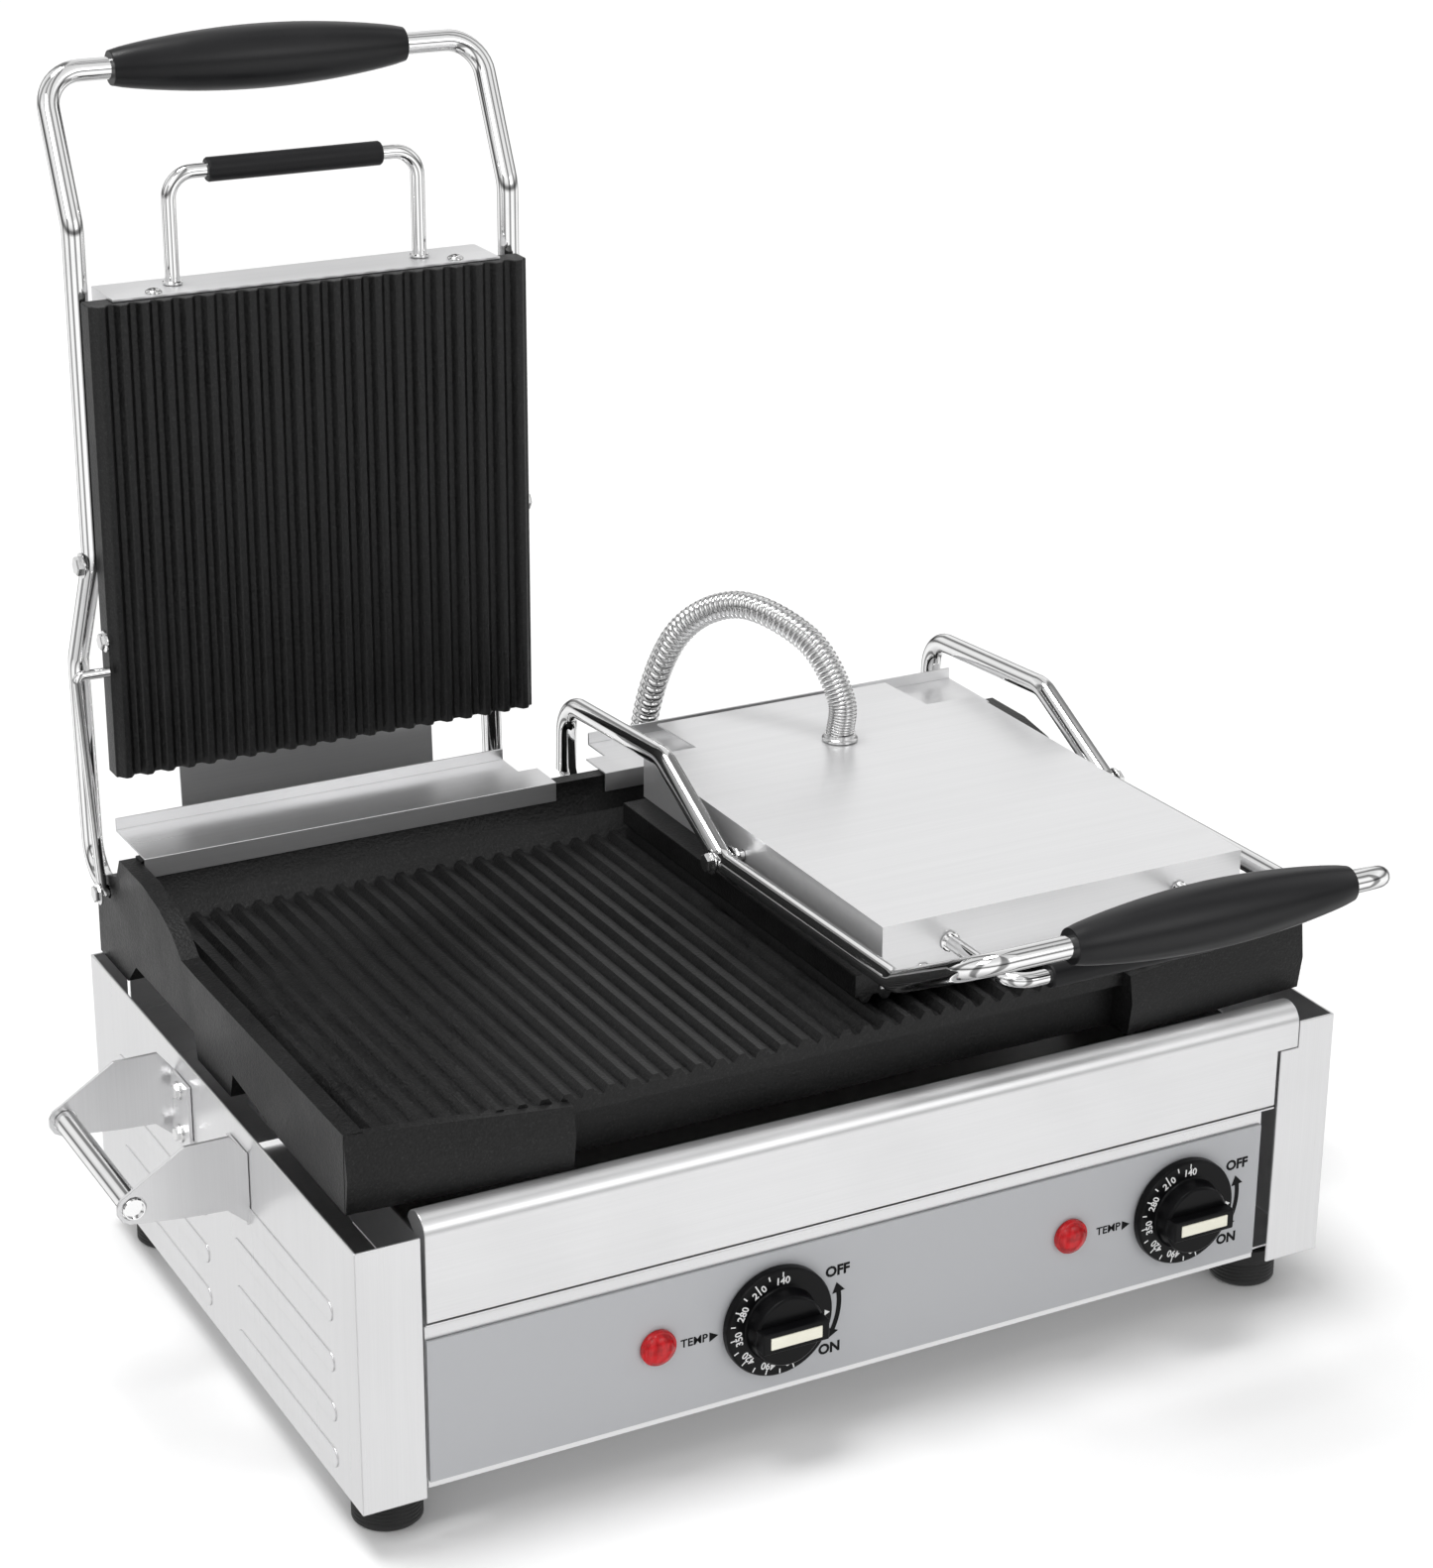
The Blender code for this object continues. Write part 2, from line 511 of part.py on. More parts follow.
def arm_frame(word, hinge):
    """The chromed tube that carries a lid, with a flat strap on each leg down to the hinge rod."""
    leg = [(0.0120, 0.0200), (0.0105, 0.0625), (-0.1130, 0.0705), (PIVOT.y - 0.003, PIVOT.z),
           (-0.3653, 0.0380), GRIP_BAR]
    corners = [(-ARM_HALF, y, z) for y, z in leg] + [(ARM_HALF, y, z) for y, z in reversed(leg)]
    arm = add(f"{word}_arm_frame", swept(rounded(corners, ARM_BEND, 4), ARM_RADIUS, 10), CHROME, hinge)
    arc = [(0.009 * math.cos(a), 0.009 * math.sin(a))
           for a in (math.radians(d) for d in range(180, 361, 20))]
    strap = [*arc, (0.0185, 0.0200), (0.0170, 0.0480), (0.0050, 0.0480), (0.0040, 0.0240)]
    straps = [prism("X", strap, *mirrored(side, ARM_HALF - 0.0025, ARM_HALF + 0.0025)) for side in (-1, 1)]
    join(arm, *straps)
    bores = [rod("X", HOLE_RADIUS, *mirrored(side, ARM_HALF - 0.005, ARM_HALF + 0.005)) for side in (-1, 1)]
    bores += [rod("X", 0.0034, *mirrored(side, ARM_HALF - 0.010, ARM_HALF + 0.010), PIVOT.yz, 12)
              for side in (-1, 1)]
    return cut(arm, *bores)


def grip(word, hinge):
    """The barrel-shaped hand grip on the arm's cross bar."""
    profile = []
    for along in (-1, -0.94, -0.75, -0.5, -0.25, 0, 0.25, 0.5, 0.75, 0.94, 1):
        swell = max(math.cos(along * math.pi / 2), 0) ** 0.8
        profile.append((GRIP_END + (GRIP_MIDDLE - GRIP_END) * swell, along * GRIP_HALF))
    middle, reach = GRIP_SHIFT[word], GRIP_HALF + 0.01
    body = add(f"{word}_grip", turned(profile, "X", (middle, *GRIP_BAR), 18), PLASTIC, hinge)
    return cut(body, rod("X", ARM_RADIUS + 0.0004, middle - reach, middle + reach, GRIP_BAR))


def hinge_rod(word, x, side):
    """The rod that a lid turns on, with a hexagonal head outside the outer strap."""
    reach = ARM_HALF + 0.0032
    centre = (HINGE_Y, HINGE_Z)
    pin = add(f"{word}_hinge_rod", rod("X", ROD_RADIUS, x - reach, x + reach, centre), STEEL)
    low, high = mirrored(side, ARM_HALF + 0.0029, ARM_HALF + 0.0062)
    join(pin, rod("X", 0.0062, x + low, x + high, centre, 6))


def pivot_bolts(word, hinge):
    """The two bolts that the plate swings on, through the arm's legs and the cover's sides."""
    for place, side in (("left", -1), ("right", 1)):
        low, high = mirrored(side, ARM_HALF - 0.0170, ARM_HALF + 0.0085)
        bolt = add(f"{word}_pivot_bolt_{place}", rod("X", 0.0029, low, high, PIVOT.yz, 12), STEEL, hinge)
        low, high = mirrored(side, ARM_HALF + 0.0066, ARM_HALF + 0.0108)
        join(bolt, rod("X", 0.0056, low, high, PIVOT.yz, 6))


def upper_plate(word, swing):
    """The ribbed cast plate, ribs down."""
    root = PLATE_BOTTOM + RIB_DEPTH
    outline = rib_outline(UPPER_RIBS, PLATE_BOTTOM, root, PLATE_TOP)
    add(f"{word}_upper_plate", prism("Y", outline, PLATE_FRONT, PLATE_BACK), IRON, swing)


def plate_cover(word, swing):
    """The steel cover: four skirts, the front one over the plate's edge, and a tail over the hinge."""
    t = COVER_SHEET
    floor = PLATE_TOP + GAP
    box = block((-COVER_HALF, COVER_FRONT, floor), (COVER_HALF, COVER_BACK, COVER_TOP))
    cover = add(f"{word}_plate_cover", box, STEEL, swing)
    cut(cover, block((-COVER_HALF + t, COVER_FRONT + t, floor - 0.001),
                     (COVER_HALF - t, COVER_BACK - t, COVER_TOP - t)))
    tail = COVER_HALF - COVER_NOTCH
    outline = [(COVER_BACK - 0.003, COVER_TOP - t), (COVER_BACK - 0.003, COVER_TOP), (COVER_BACK, COVER_TOP),
               (COVER_TAIL, COVER_TOP - 0.0022), (COVER_TAIL, COVER_TOP - 0.0022 - t),
               (COVER_BACK, COVER_TOP - t)]
    apron_sheet = block((-COVER_HALF, COVER_FRONT, COVER_LIP), (COVER_HALF, COVER_FRONT + t, floor + 0.001))
    join(cover, prism("X", outline, -tail, tail), apron_sheet)
    holes = [rod("Y", HOLE_RADIUS, COVER_FRONT - 0.002, COVER_FRONT + 0.003, (x, LIFT_LEVEL), 12)
             for x in LIFT_LEGS]
    bores = [rod("X", 0.0034, *mirrored(side, COVER_HALF - 0.003, COVER_HALF + 0.002), PIVOT.yz, 12)
             for side in (-1, 1)]
    bores.append(rod("Z", 0.0066, COVER_TOP - 0.004, COVER_TOP + 0.002, FERRULE.xy, 12))
    return cut(cover, *holes, *bores)


def lift_handle(word, swing):
    """The small bar at the front of the plate, with its sleeve."""
    back = COVER_FRONT + 0.0080
    corners = [(x, y, LIFT_LEVEL) for x, y in ((LIFT_LEGS[0], back), (LIFT_LEGS[0], LIFT_REACH),
                                              (LIFT_LEGS[1], LIFT_REACH), (LIFT_LEGS[1], back))]
    bar = add(f"{word}_lift_handle", swept(rounded(corners, 0.0140, 4), 0.0040, 10), CHROME, swing)
    collars = [rod("Y", 0.0054, COVER_FRONT - 0.0022, COVER_FRONT - GAP, (x, LIFT_LEVEL), 12)
               for x in LIFT_LEGS]
    join(bar, *collars)
    profile = [(0.0058, -0.050), (0.0066, -0.0485), (0.0066, 0.0485), (0.0058, 0.050)]
    sleeve = add(f"{word}_lift_sleeve", turned(profile, "X", (0, LIFT_REACH, LIFT_LEVEL), 16), RUBBER,
                 swing)
    cut(sleeve, rod("X", 0.0043, -0.06, 0.06, (LIFT_REACH, LIFT_LEVEL), 12))


def link_rod(word, side, turn, x):
    """The rod from the base to the plate's side, with both ends bent inwards."""
    axis = empty(f"{word}_link_axis", None, (x, HINGE_Y + LINK_PIVOT.y, HINGE_Z + LINK_PIVOT.z),
                 LINK_OPEN if turn else LINK_CLOSED)
    low, high = IRON_HALF - LID_X[1] - 0.0045, PLATE_HALF + 0.0008
    corners = [(side * low, 0, 0), (side * LINK_X, 0, 0), (side * LINK_X, -LINK_REACH, 0),
               (side * high, -LINK_REACH, 0)]
    add(f"{word}_link_rod", swept(rounded(corners, 0.0036, 4), LINK_RADIUS, 8), STEEL, axis)


def upper_element(word, swing):
    path = hairpin(0.084, -0.295, -0.085, PLATE_TOP + 0.0042, 4)
    add(f"{word}_upper_element", swept(path, 0.0035, 8), SHEATH, swing)


def conduit_entry(x):
    """Where a lid's conduit goes into the rear panel."""
    return Vector((x - 0.057, BACK, BASE + 0.1050))


def conduit(word, hinge, x, turn):
    """The coiled steel conduit from the rear panel up and over to the ferrule on the cover."""
    end = Vector((x, HINGE_Y, HINGE_Z)) + tilted(FERRULE + Vector((0, 0, 0.0062)), turn)
    out = tilted(Vector((0, 0, 1)), turn)
    entry = conduit_entry(x)
    start = entry + Vector((0, 0.0010, 0))
    if turn == 0:
        between = [start + Vector((0, 0.022, 0.004)), start + Vector((0.001, 0.039, 0.035)),
                   start + Vector((0.002, 0.040, 0.100)), end + Vector((-0.052, 0.104, 0.034)),
                   end + Vector((-0.032, 0.066, 0.061)), end + Vector((-0.010, 0.022, 0.050)),
                   end + out * 0.020]
    else:
        between = [start + Vector((0, 0.018, 0.002)), start + Vector((0.002, 0.042, 0.020)),
                   start + Vector((0.006, 0.062, 0.062)), start + Vector((0.018, 0.070, 0.110)),
                   end + out * 0.0262 + Vector((-0.006, 0, -0.022)), end + out * 0.0160]
    path = smooth_path([start, *between, end], 32)
    add(f"{word}_conduit", swept(path, CONDUIT_RADIUS, 8), COIL)
    profile = [(0.0060, -0.0050), (0.0060, GAP), (0.0104, GAP), (0.0104, 0.0022), (0.0090, 0.0030),
               (0.0090, 0.0048)]
    add(f"{word}_ferrule", turned(profile, "Z", FERRULE, 16), STEEL, hinge)


def lid(word, x, turn):
    """One lid: the arm turns on the hinge, and the plate swings on the arm's pivot bolts."""
    side = -1 if x < 0 else 1
    hinge = empty(f"{word}_hinge_axis", None, (x, HINGE_Y, HINGE_Z), turn)
    swing = empty(f"{word}_plate_axis", hinge, PIVOT, UPRIGHT - OPEN_ANGLE if turn else 0.0)
    shift = empty(f"{word}_plate_frame", swing, -PIVOT)
    arm_frame(word, hinge)
    grip(word, hinge)
    hinge_rod(word, x, side)
    pivot_bolts(word, hinge)
    upper_plate(word, shift)
    plate_cover(word, shift)
    lift_handle(word, shift)
    upper_element(word, shift)
    link_rod(word, side, turn, x)
    conduit(word, shift, x, turn)


def main():
    for obj in list(bpy.data.objects):
        bpy.data.objects.remove(obj)
    side_panel("left_side_panel", -1)
    side_panel("right_side_panel", 1)
    front_panel()
    control_fascia()
    base_sheets()
    feet()
    side_handle(-1, "left")
    side_handle(1, "right")
    for number in range(2):
        dial(number, DIAL_X[number])
        lamp(number, LAMP_X[number])
    electrics()
    drip_tray()
    lower_plate()
    hinge_cover("left", -0.2682, -0.0226, 0.012)
    hinge_cover("right", 0.0085, 0.2682, 0.012)
    lid("left", LID_X[0], OPEN_ANGLE)
    lid("right", LID_X[1], 0.0)


main()
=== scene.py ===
"""Looks of a double contact grill: a ribbed iron base in a steel housing, and two ribbed lids."""

import json
import logging
import math
from dataclasses import dataclass, field
from enum import Enum
from itertools import product
from typing import Any, Callable, Iterable, Sequence

import bpy
from mathutils import Matrix, Vector


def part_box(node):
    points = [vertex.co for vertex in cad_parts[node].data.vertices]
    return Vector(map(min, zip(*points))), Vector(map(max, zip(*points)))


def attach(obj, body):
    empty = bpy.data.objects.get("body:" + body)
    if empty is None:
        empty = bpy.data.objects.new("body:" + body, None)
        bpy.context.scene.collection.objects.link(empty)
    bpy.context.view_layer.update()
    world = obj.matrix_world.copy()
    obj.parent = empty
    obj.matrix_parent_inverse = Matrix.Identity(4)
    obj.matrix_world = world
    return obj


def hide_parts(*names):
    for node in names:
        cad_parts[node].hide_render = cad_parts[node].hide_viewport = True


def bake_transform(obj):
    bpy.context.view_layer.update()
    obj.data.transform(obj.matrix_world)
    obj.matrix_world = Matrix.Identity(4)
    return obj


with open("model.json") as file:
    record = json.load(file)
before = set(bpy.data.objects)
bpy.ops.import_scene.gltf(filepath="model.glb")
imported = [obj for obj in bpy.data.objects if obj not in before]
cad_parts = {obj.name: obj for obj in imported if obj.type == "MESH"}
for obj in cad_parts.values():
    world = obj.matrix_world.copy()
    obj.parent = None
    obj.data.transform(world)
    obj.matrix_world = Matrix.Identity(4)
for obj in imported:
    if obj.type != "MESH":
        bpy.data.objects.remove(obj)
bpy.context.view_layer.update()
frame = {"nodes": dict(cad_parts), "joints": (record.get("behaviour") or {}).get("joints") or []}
log = logging.getLogger("contact_grill")

Pair = tuple[float, float]
Point = tuple[float, float, float]
Thing = bpy.types.Object


# ---- shader maths ----


def socket_maths(operation: str, swapped: bool = False) -> Callable[["Wire", Any], "Wire"]:
    """A Wire operator that adds one Math node, with its two values swapped for a reflected operator."""

    def operator(wire: "Wire", other: Any) -> "Wire":
        """The Math node's result."""
        first, second = (other, wire) if swapped else (wire, other)
        return wire.recipe.wire("ShaderNodeMath", {"operation": operation}, {0: first, 1: second})

    return operator


class Wire:
    """One output of a node, on which Python arithmetic adds Math nodes."""

    __add__ = socket_maths("ADD")
    __radd__ = socket_maths("ADD", swapped=True)
    __sub__ = socket_maths("SUBTRACT")
    __rsub__ = socket_maths("SUBTRACT", swapped=True)
    __mul__ = socket_maths("MULTIPLY")
    __rmul__ = socket_maths("MULTIPLY", swapped=True)

    def __init__(self, recipe: "Recipe", socket: bpy.types.NodeSocket) -> None:
        """Keeps the recipe that the socket belongs to, and the socket."""
        self.recipe = recipe
        self.socket = socket

    def between(self, low: float, high: float) -> "Wire":
        """0 below low, 1 above high, and a smooth rise in between."""
        sockets = {0: self, 1: low, 2: high, 3: 0.0, 4: 1.0}
        return self.recipe.wire("ShaderNodeMapRange", {"interpolation_type": "SMOOTHSTEP"}, sockets)


class Recipe:
    """One material's nodes, while they are put together."""

    def __init__(self, name: str) -> None:
        """Starts a material with a Principled shader."""
        self.material = bpy.data.materials.new(name)
        self.material.use_nodes = True
        self.tree = self.material.node_tree
        self.shader = self.tree.nodes["Principled BSDF"]

    def node(
        self, kind: str, settings: dict | None = None, sockets: dict | None = None
    ) -> bpy.types.Node:
        """Adds a node.

        Args:
            kind: the node's type.
            settings: its settings, set first; stops are a colour ramp's (position, colour) pairs.
            sockets: values or wires, by the input's index or name.

        Returns:
            The new node.
        """
        made = self.tree.nodes.new(kind)
        for key, value in (settings or {}).items():
            if key == "stops":
                elements = made.color_ramp.elements
                while len(elements) < len(value):
                    elements.new(1.0)
                for element, (position, colour) in zip(elements, value):
                    element.position = position
                    element.color = (*colour, 1.0)
            else:
                setattr(made, key, value)
        for key, value in (sockets or {}).items():
            if isinstance(value, Wire):
                self.tree.links.new(value.socket, made.inputs[key])
            else:
                made.inputs[key].default_value = value
        return made

    def wire(
        self, kind: str, settings: dict | None = None, sockets: dict | None = None, output: int | str = 0
    ) -> Wire:
        """Adds a node and returns one of its outputs.

        Args:
            kind: the node's type.
            settings: its settings.
            sockets: its input values or wires.
            output: the output's index or name.

        Returns:
            The output as a wire.
        """
        return Wire(self, self.node(kind, settings, sockets).outputs[output])

    def place(self, scale: Point = (1.0, 1.0, 1.0), turn: Point = (0.0, 0.0, 0.0)) -> Wire:
        """The point on the object, turned and then stretched."""
        where = self.wire("ShaderNodeTexCoord", output="Object")
        return self.wire("ShaderNodeMapping", {}, {"Vector": where, "Rotation": turn, "Scale": scale})

    def noise(self, where: Wire, scale: float, detail: float = 2.0, roughness: float = 0.5) -> Wire:
        """Cloudy noise from 0 to 1."""
        sockets = {"Vector": where, "Scale": scale, "Detail": detail, "Roughness": roughness}
        return self.wire("ShaderNodeTexNoise", {}, sockets)

    def blend(self, factor: Wire | float, first: Any, second: Any) -> Wire:
        """A colour between two colours."""
        first, second = (c if isinstance(c, Wire) else (*c, 1.0) for c in (first, second))
        return self.wire("ShaderNodeMix", {"data_type": "RGBA"}, {0: factor, 6: first, 7: second}, 2)

    def bump(self, height: Wire, depth: float, strength: float = 1.0) -> Wire:
        """A surface normal from a height of 0 to 1 that stands for the depth in metres."""
        sockets = {"Height": height, "Distance": depth, "Strength": strength}
        return self.wire("ShaderNodeBump", {}, sockets, "Normal")

    def set(self, **sockets: Any) -> None:
        """Sets or links the shader's own sockets, named with underscores for spaces."""
        for name, value in sockets.items():
            target = self.shader.inputs[name.replace("_", " ")]
            if isinstance(value, Wire):
                self.tree.links.new(value.socket, target)
            elif isinstance(value, tuple):
                target.default_value = (*value, 1.0)
            else:
                target.default_value = value


class Surround(Recipe):
    """The world's nodes, while they are put together."""

    def __init__(self, name: str) -> None:
        """Starts a world and makes it the scene's."""
        world = bpy.data.worlds.new(name)
        world.use_nodes = True
        bpy.context.scene.world = world
        self.tree = world.node_tree


# ---- finishes ----


class Brushing(Enum):
    """Which way a sheet's grain runs, as the stretch of its noise."""

    ALONG_X = (14.0, 1400.0, 1400.0)
    ALONG_Z = (1400.0, 1400.0, 14.0)


@dataclass(frozen=True)
class BrushedSheet:
    """Stainless sheet with a fine brushed grain, faint smudges and a little unevenness."""

    name: str
    grain: Brushing
    shade: float = 0.77
    roughness: float = 0.29
    bare: float = 0.86

    def mix(self, recipe: Recipe) -> None:
        """Mixes the sheet's colour, gloss and grain."""
        grain = recipe.noise(recipe.place(self.grain.value), 1.0, 4.0, 0.62)
        broad = recipe.noise(recipe.place(tuple(s * 0.12 for s in self.grain.value)), 1.0, 2.0)
        smudge = recipe.noise(recipe.place(), 11.0, 3.0, 0.55).between(0.45, 0.72)
        streak = 0.6 * grain + 0.4 * broad
        light = (self.shade, self.shade, self.shade * 1.008)
        dim = tuple(c * 0.93 for c in light)
        colour = recipe.blend(streak.between(0.25, 0.75), dim, light)
        colour = recipe.blend(smudge * 0.12, colour, dim)
        rough = self.roughness - 0.06 + 0.12 * streak + 0.03 * smudge
        recipe.set(Base_Color=colour, Metallic=self.bare, Roughness=rough)
        recipe.set(Normal=recipe.bump(grain, 0.000012, 0.5))


@dataclass(frozen=True)
class ChromePlate:
    """Bright plated bar: nearly a mirror, with faint ripple and hairline scratches."""

    name: str
    shade: float = 0.84
    roughness: float = 0.05

    def mix(self, recipe: Recipe) -> None:
        """Mixes the plating's colour, gloss and ripple."""
        ripple = recipe.noise(recipe.place(), 90.0, 2.0)
        haze = recipe.noise(recipe.place(), 24.0, 4.0, 0.6).between(0.48, 0.75)
        lines = recipe.place((900.0, 60.0, 900.0), (0.3, 0.5, 0.2))
        scratch = recipe.noise(lines, 1.0, 3.0).between(0.62, 0.72)
        clean, dim = (self.shade,) * 3, (self.shade * 0.9, self.shade * 0.9, self.shade * 0.91)
        colour = recipe.blend(haze * 0.5, clean, dim)
        rough = self.roughness + 0.08 * haze + 0.10 * scratch
        recipe.set(Base_Color=colour, Metallic=1.0, Roughness=rough)
        recipe.set(Normal=recipe.bump(ripple, 0.00006, 0.5))


@dataclass(frozen=True)
class CastIron:
    """Black enamelled iron with the grain of the sand mould, and paler flecks scattered at random."""

    name: str
    dark: float = 0.0012
    light: float = 0.0135
    roughness: float = 0.38
    gloss: float = 0.36

    def mix(self, recipe: Recipe) -> None:
        """Mixes the iron's colour, gloss and grain."""
        sand = recipe.noise(recipe.place(), 620.0, 3.0, 0.6)
        lump = recipe.noise(recipe.place(), 120.0, 3.0, 0.55)
        cloud = recipe.noise(recipe.place(), 16.0, 3.0, 0.6).between(0.35, 0.70)
        fleck = recipe.noise(recipe.place(), 760.0, 2.0).between(0.56, 0.72)
        dark = (self.dark, self.dark, self.dark * 1.03)
        light = (self.light, self.light, self.light * 1.02)
        colour = recipe.blend(sand.between(0.30, 0.75) * 0.6 + cloud * 0.25, dark, light)
        colour = recipe.blend(fleck * 0.35, colour, (self.light * 3.0,) * 3)
        height = 0.65 * sand + 0.35 * lump
        rough = self.roughness - 0.08 + 0.20 * sand + 0.10 * cloud
        recipe.set(Base_Color=colour, Metallic=0.0, Roughness=rough, Specular_IOR_Level=self.gloss)
        recipe.set(Normal=recipe.bump(height, 0.00060, 0.9))


@dataclass(frozen=True)
class Moulding:
    """Moulded plastic or rubber with a fine spark-eroded grain."""

    name: str
    colour: Point
    roughness: float
    grain: float = 1500.0
    depth: float = 0.00006
    coat: float = 0.0
    gloss: float = 0.5

    def mix(self, recipe: Recipe) -> None:
        """Mixes the moulding's colour, gloss and grain."""
        grain = recipe.noise(recipe.place(), self.grain, 2.0)
        patch = recipe.noise(recipe.place(), 35.0, 3.0).between(0.4, 0.7)
        paler = tuple(min(1.0, c * 1.25 + 0.002) for c in self.colour)
        colour = recipe.blend(0.6 * grain + 0.4 * patch, self.colour, paler)
        rough = self.roughness - 0.05 + 0.10 * grain + 0.06 * patch
        recipe.set(Base_Color=colour, Roughness=rough, Normal=recipe.bump(grain, self.depth, 0.6))
        recipe.set(Coat_Weight=self.coat, Coat_Roughness=0.12, Specular_IOR_Level=self.gloss)


@dataclass(frozen=True)
class PrintedFilm:
    """A satin grey film on the control fascia."""

    name: str
    colour: Point = (0.475, 0.482, 0.500)

    def mix(self, recipe: Recipe) -> None:
        """Mixes the film's colour, gloss and fine texture."""
        grain = recipe.noise(recipe.place(), 2600.0, 2.0)
        wave = recipe.noise(recipe.place(), 6.0, 2.0)
        dim = tuple(c * 0.965 for c in self.colour)
        recipe.set(Base_Color=recipe.blend(0.5 * grain + 0.5 * wave, dim, self.colour))
        recipe.set(Roughness=0.36 + 0.10 * grain, Normal=recipe.bump(grain, 0.00002, 0.5))


@dataclass(frozen=True)
class Ink:
    """Screen-printed ink, a little uneven."""

    name: str
    colour: Point

    def mix(self, recipe: Recipe) -> None:
        """Mixes the ink's colour and gloss."""
        patch = recipe.noise(recipe.place(), 1800.0, 2.0)
        colour = recipe.blend(patch * 0.3, self.colour, tuple(0.9 * c + 0.012 for c in self.colour))
        recipe.set(Base_Color=colour, Roughness=0.42 + 0.12 * patch, Specular_IOR_Level=0.12)


@dataclass(frozen=True)
class LampLens:
    """A red lens with fine moulded ribs and a cloudy tone, faintly lit from within."""

    name: str
    deep: Point = (0.26, 0.002, 0.004)
    bright: Point = (0.66, 0.012, 0.018)

    def mix(self, recipe: Recipe) -> None:
        """Mixes the lens's colour, gloss and ribs."""
        ribs = recipe.noise(recipe.place((2200.0, 60.0, 60.0)), 1.0, 1.0)
        cloud = recipe.noise(recipe.place(), 190.0, 2.0).between(0.35, 0.65)
        colour = recipe.blend(0.55 * cloud + 0.35 * ribs, self.deep, self.bright)
        recipe.set(Base_Color=colour, Roughness=0.16 + 0.14 * ribs)
        recipe.set(Normal=recipe.bump(ribs, 0.00004, 0.4))
        recipe.set(Coat_Weight=0.2, Coat_Roughness=0.10, Specular_IOR_Level=0.3)
        recipe.set(Emission_Color=colour, Emission_Strength=0.06)


@dataclass(frozen=True)
class HeatedMetal:
    """Element sheath or other metal dulled and tinted by heat."""

    name: str
    cool: Point = (0.34, 0.31, 0.29)
    hot: Point = (0.16, 0.12, 0.10)

    def mix(self, recipe: Recipe) -> None:
        """Mixes the metal's tint, gloss and scale."""
        tint = recipe.noise(recipe.place(), 30.0, 3.0).between(0.3, 0.7)
        scale = recipe.noise(recipe.place(), 700.0, 3.0)
        colour = recipe.blend(tint, self.cool, self.hot)
        recipe.set(Base_Color=colour, Metallic=0.85, Roughness=0.40 + 0.25 * scale)
        recipe.set(Normal=recipe.bump(scale, 0.00010, 0.6))


@dataclass(frozen=True)
class PaleFloor:
    """Seamless white studio floor."""

    name: str
    colour: Point = (0.93, 0.93, 0.93)

    def mix(self, recipe: Recipe) -> None:
        """Mixes the floor's colour and a faint paper tooth."""
        tooth = recipe.noise(recipe.place(), 260.0, 2.0)
        colour = recipe.blend(tooth, tuple(c * 0.99 for c in self.colour), self.colour)
        recipe.set(Base_Color=colour, Roughness=0.75 + 0.1 * tooth, Specular_IOR_Level=0.15)


SHEET_X = BrushedSheet("sheet_brushed_across", Brushing.ALONG_X)
SHEET_Z = BrushedSheet("sheet_brushed_upright", Brushing.ALONG_Z)
COVER_STEEL = BrushedSheet("cover_steel", Brushing.ALONG_X, 0.78, 0.31, 0.62)
TRAY_STEEL = BrushedSheet("tray_steel", Brushing.ALONG_X, 0.82, 0.33)
CHROME = ChromePlate("chrome_tube")
PLATED = ChromePlate("plated_fastener", 0.72, 0.16)
COIL_STEEL = ChromePlate("conduit_strip", 0.74, 0.13)
IRON = CastIron("cast_iron_base")
LID_IRON = CastIron("cast_iron_lid", 0.0012, 0.0125, 0.36, 0.42)
GRIP_BLACK = Moulding("grip_plastic", (0.006, 0.006, 0.007), 0.33, 1300.0, gloss=0.36)
SLEEVE_BLACK = Moulding("sleeve_rubber", (0.005, 0.005, 0.006), 0.42, 1700.0, gloss=0.3)
FOOT_BLACK = Moulding("foot_rubber", (0.007, 0.007, 0.007), 0.58, 900.0, 0.00012)
DIAL_BLACK = Moulding("dial_plastic", (0.002, 0.002, 0.0025), 0.30, 2200.0, 0.00003, 0.02, 0.14)
IVORY = Moulding("ivory_insert", (0.83, 0.80, 0.68), 0.34, 2400.0, 0.00002, 0.2)
CERAMIC = Moulding("thermostat_ceramic", (0.74, 0.71, 0.64), 0.55, 600.0, 0.00012)
FILM = PrintedFilm("fascia_film")
WHITE_INK = Ink("white_ink", (0.86, 0.86, 0.86))
BLACK_INK = Ink("black_ink", (0.004, 0.004, 0.0045))
RED_LENS = LampLens("lamp_lens")
SHEATH = HeatedMetal("element_sheath")
FLOOR = PaleFloor("studio_floor")


# ---- modelling ----


def rounded(corners: Sequence[Point], radius: float, steps: int) -> list[Vector]:
    """A path through corners, with each bend turned to an arc.

    Args:
        corners: the path's corners, the two ends included.
        radius: the radius of every bend.
        steps: straight pieces in each arc.

    Returns:
        The path's points.
    """
    corners = [Vector(c) for c in corners]
    path = [corners[0]]
    for before, corner, after in zip(corners, corners[1:], corners[2:]):
        towards, away = (before - corner).normalized(), (after - corner).normalized()
        half = towards.angle(away) / 2
        reach = radius / math.tan(half)
        centre = corner + (towards + away).normalized() * radius / math.sin(half)
        start, end = corner + towards * reach - centre, corner + away * reach - centre
        sweep = start.angle(end)
        for i in range(steps + 1):
            t = i / steps
            mixed = start * math.sin((1 - t) * sweep) + end * math.sin(t * sweep)
            path.append(centre + mixed / math.sin(sweep))
    path.append(corners[-1])
    return path


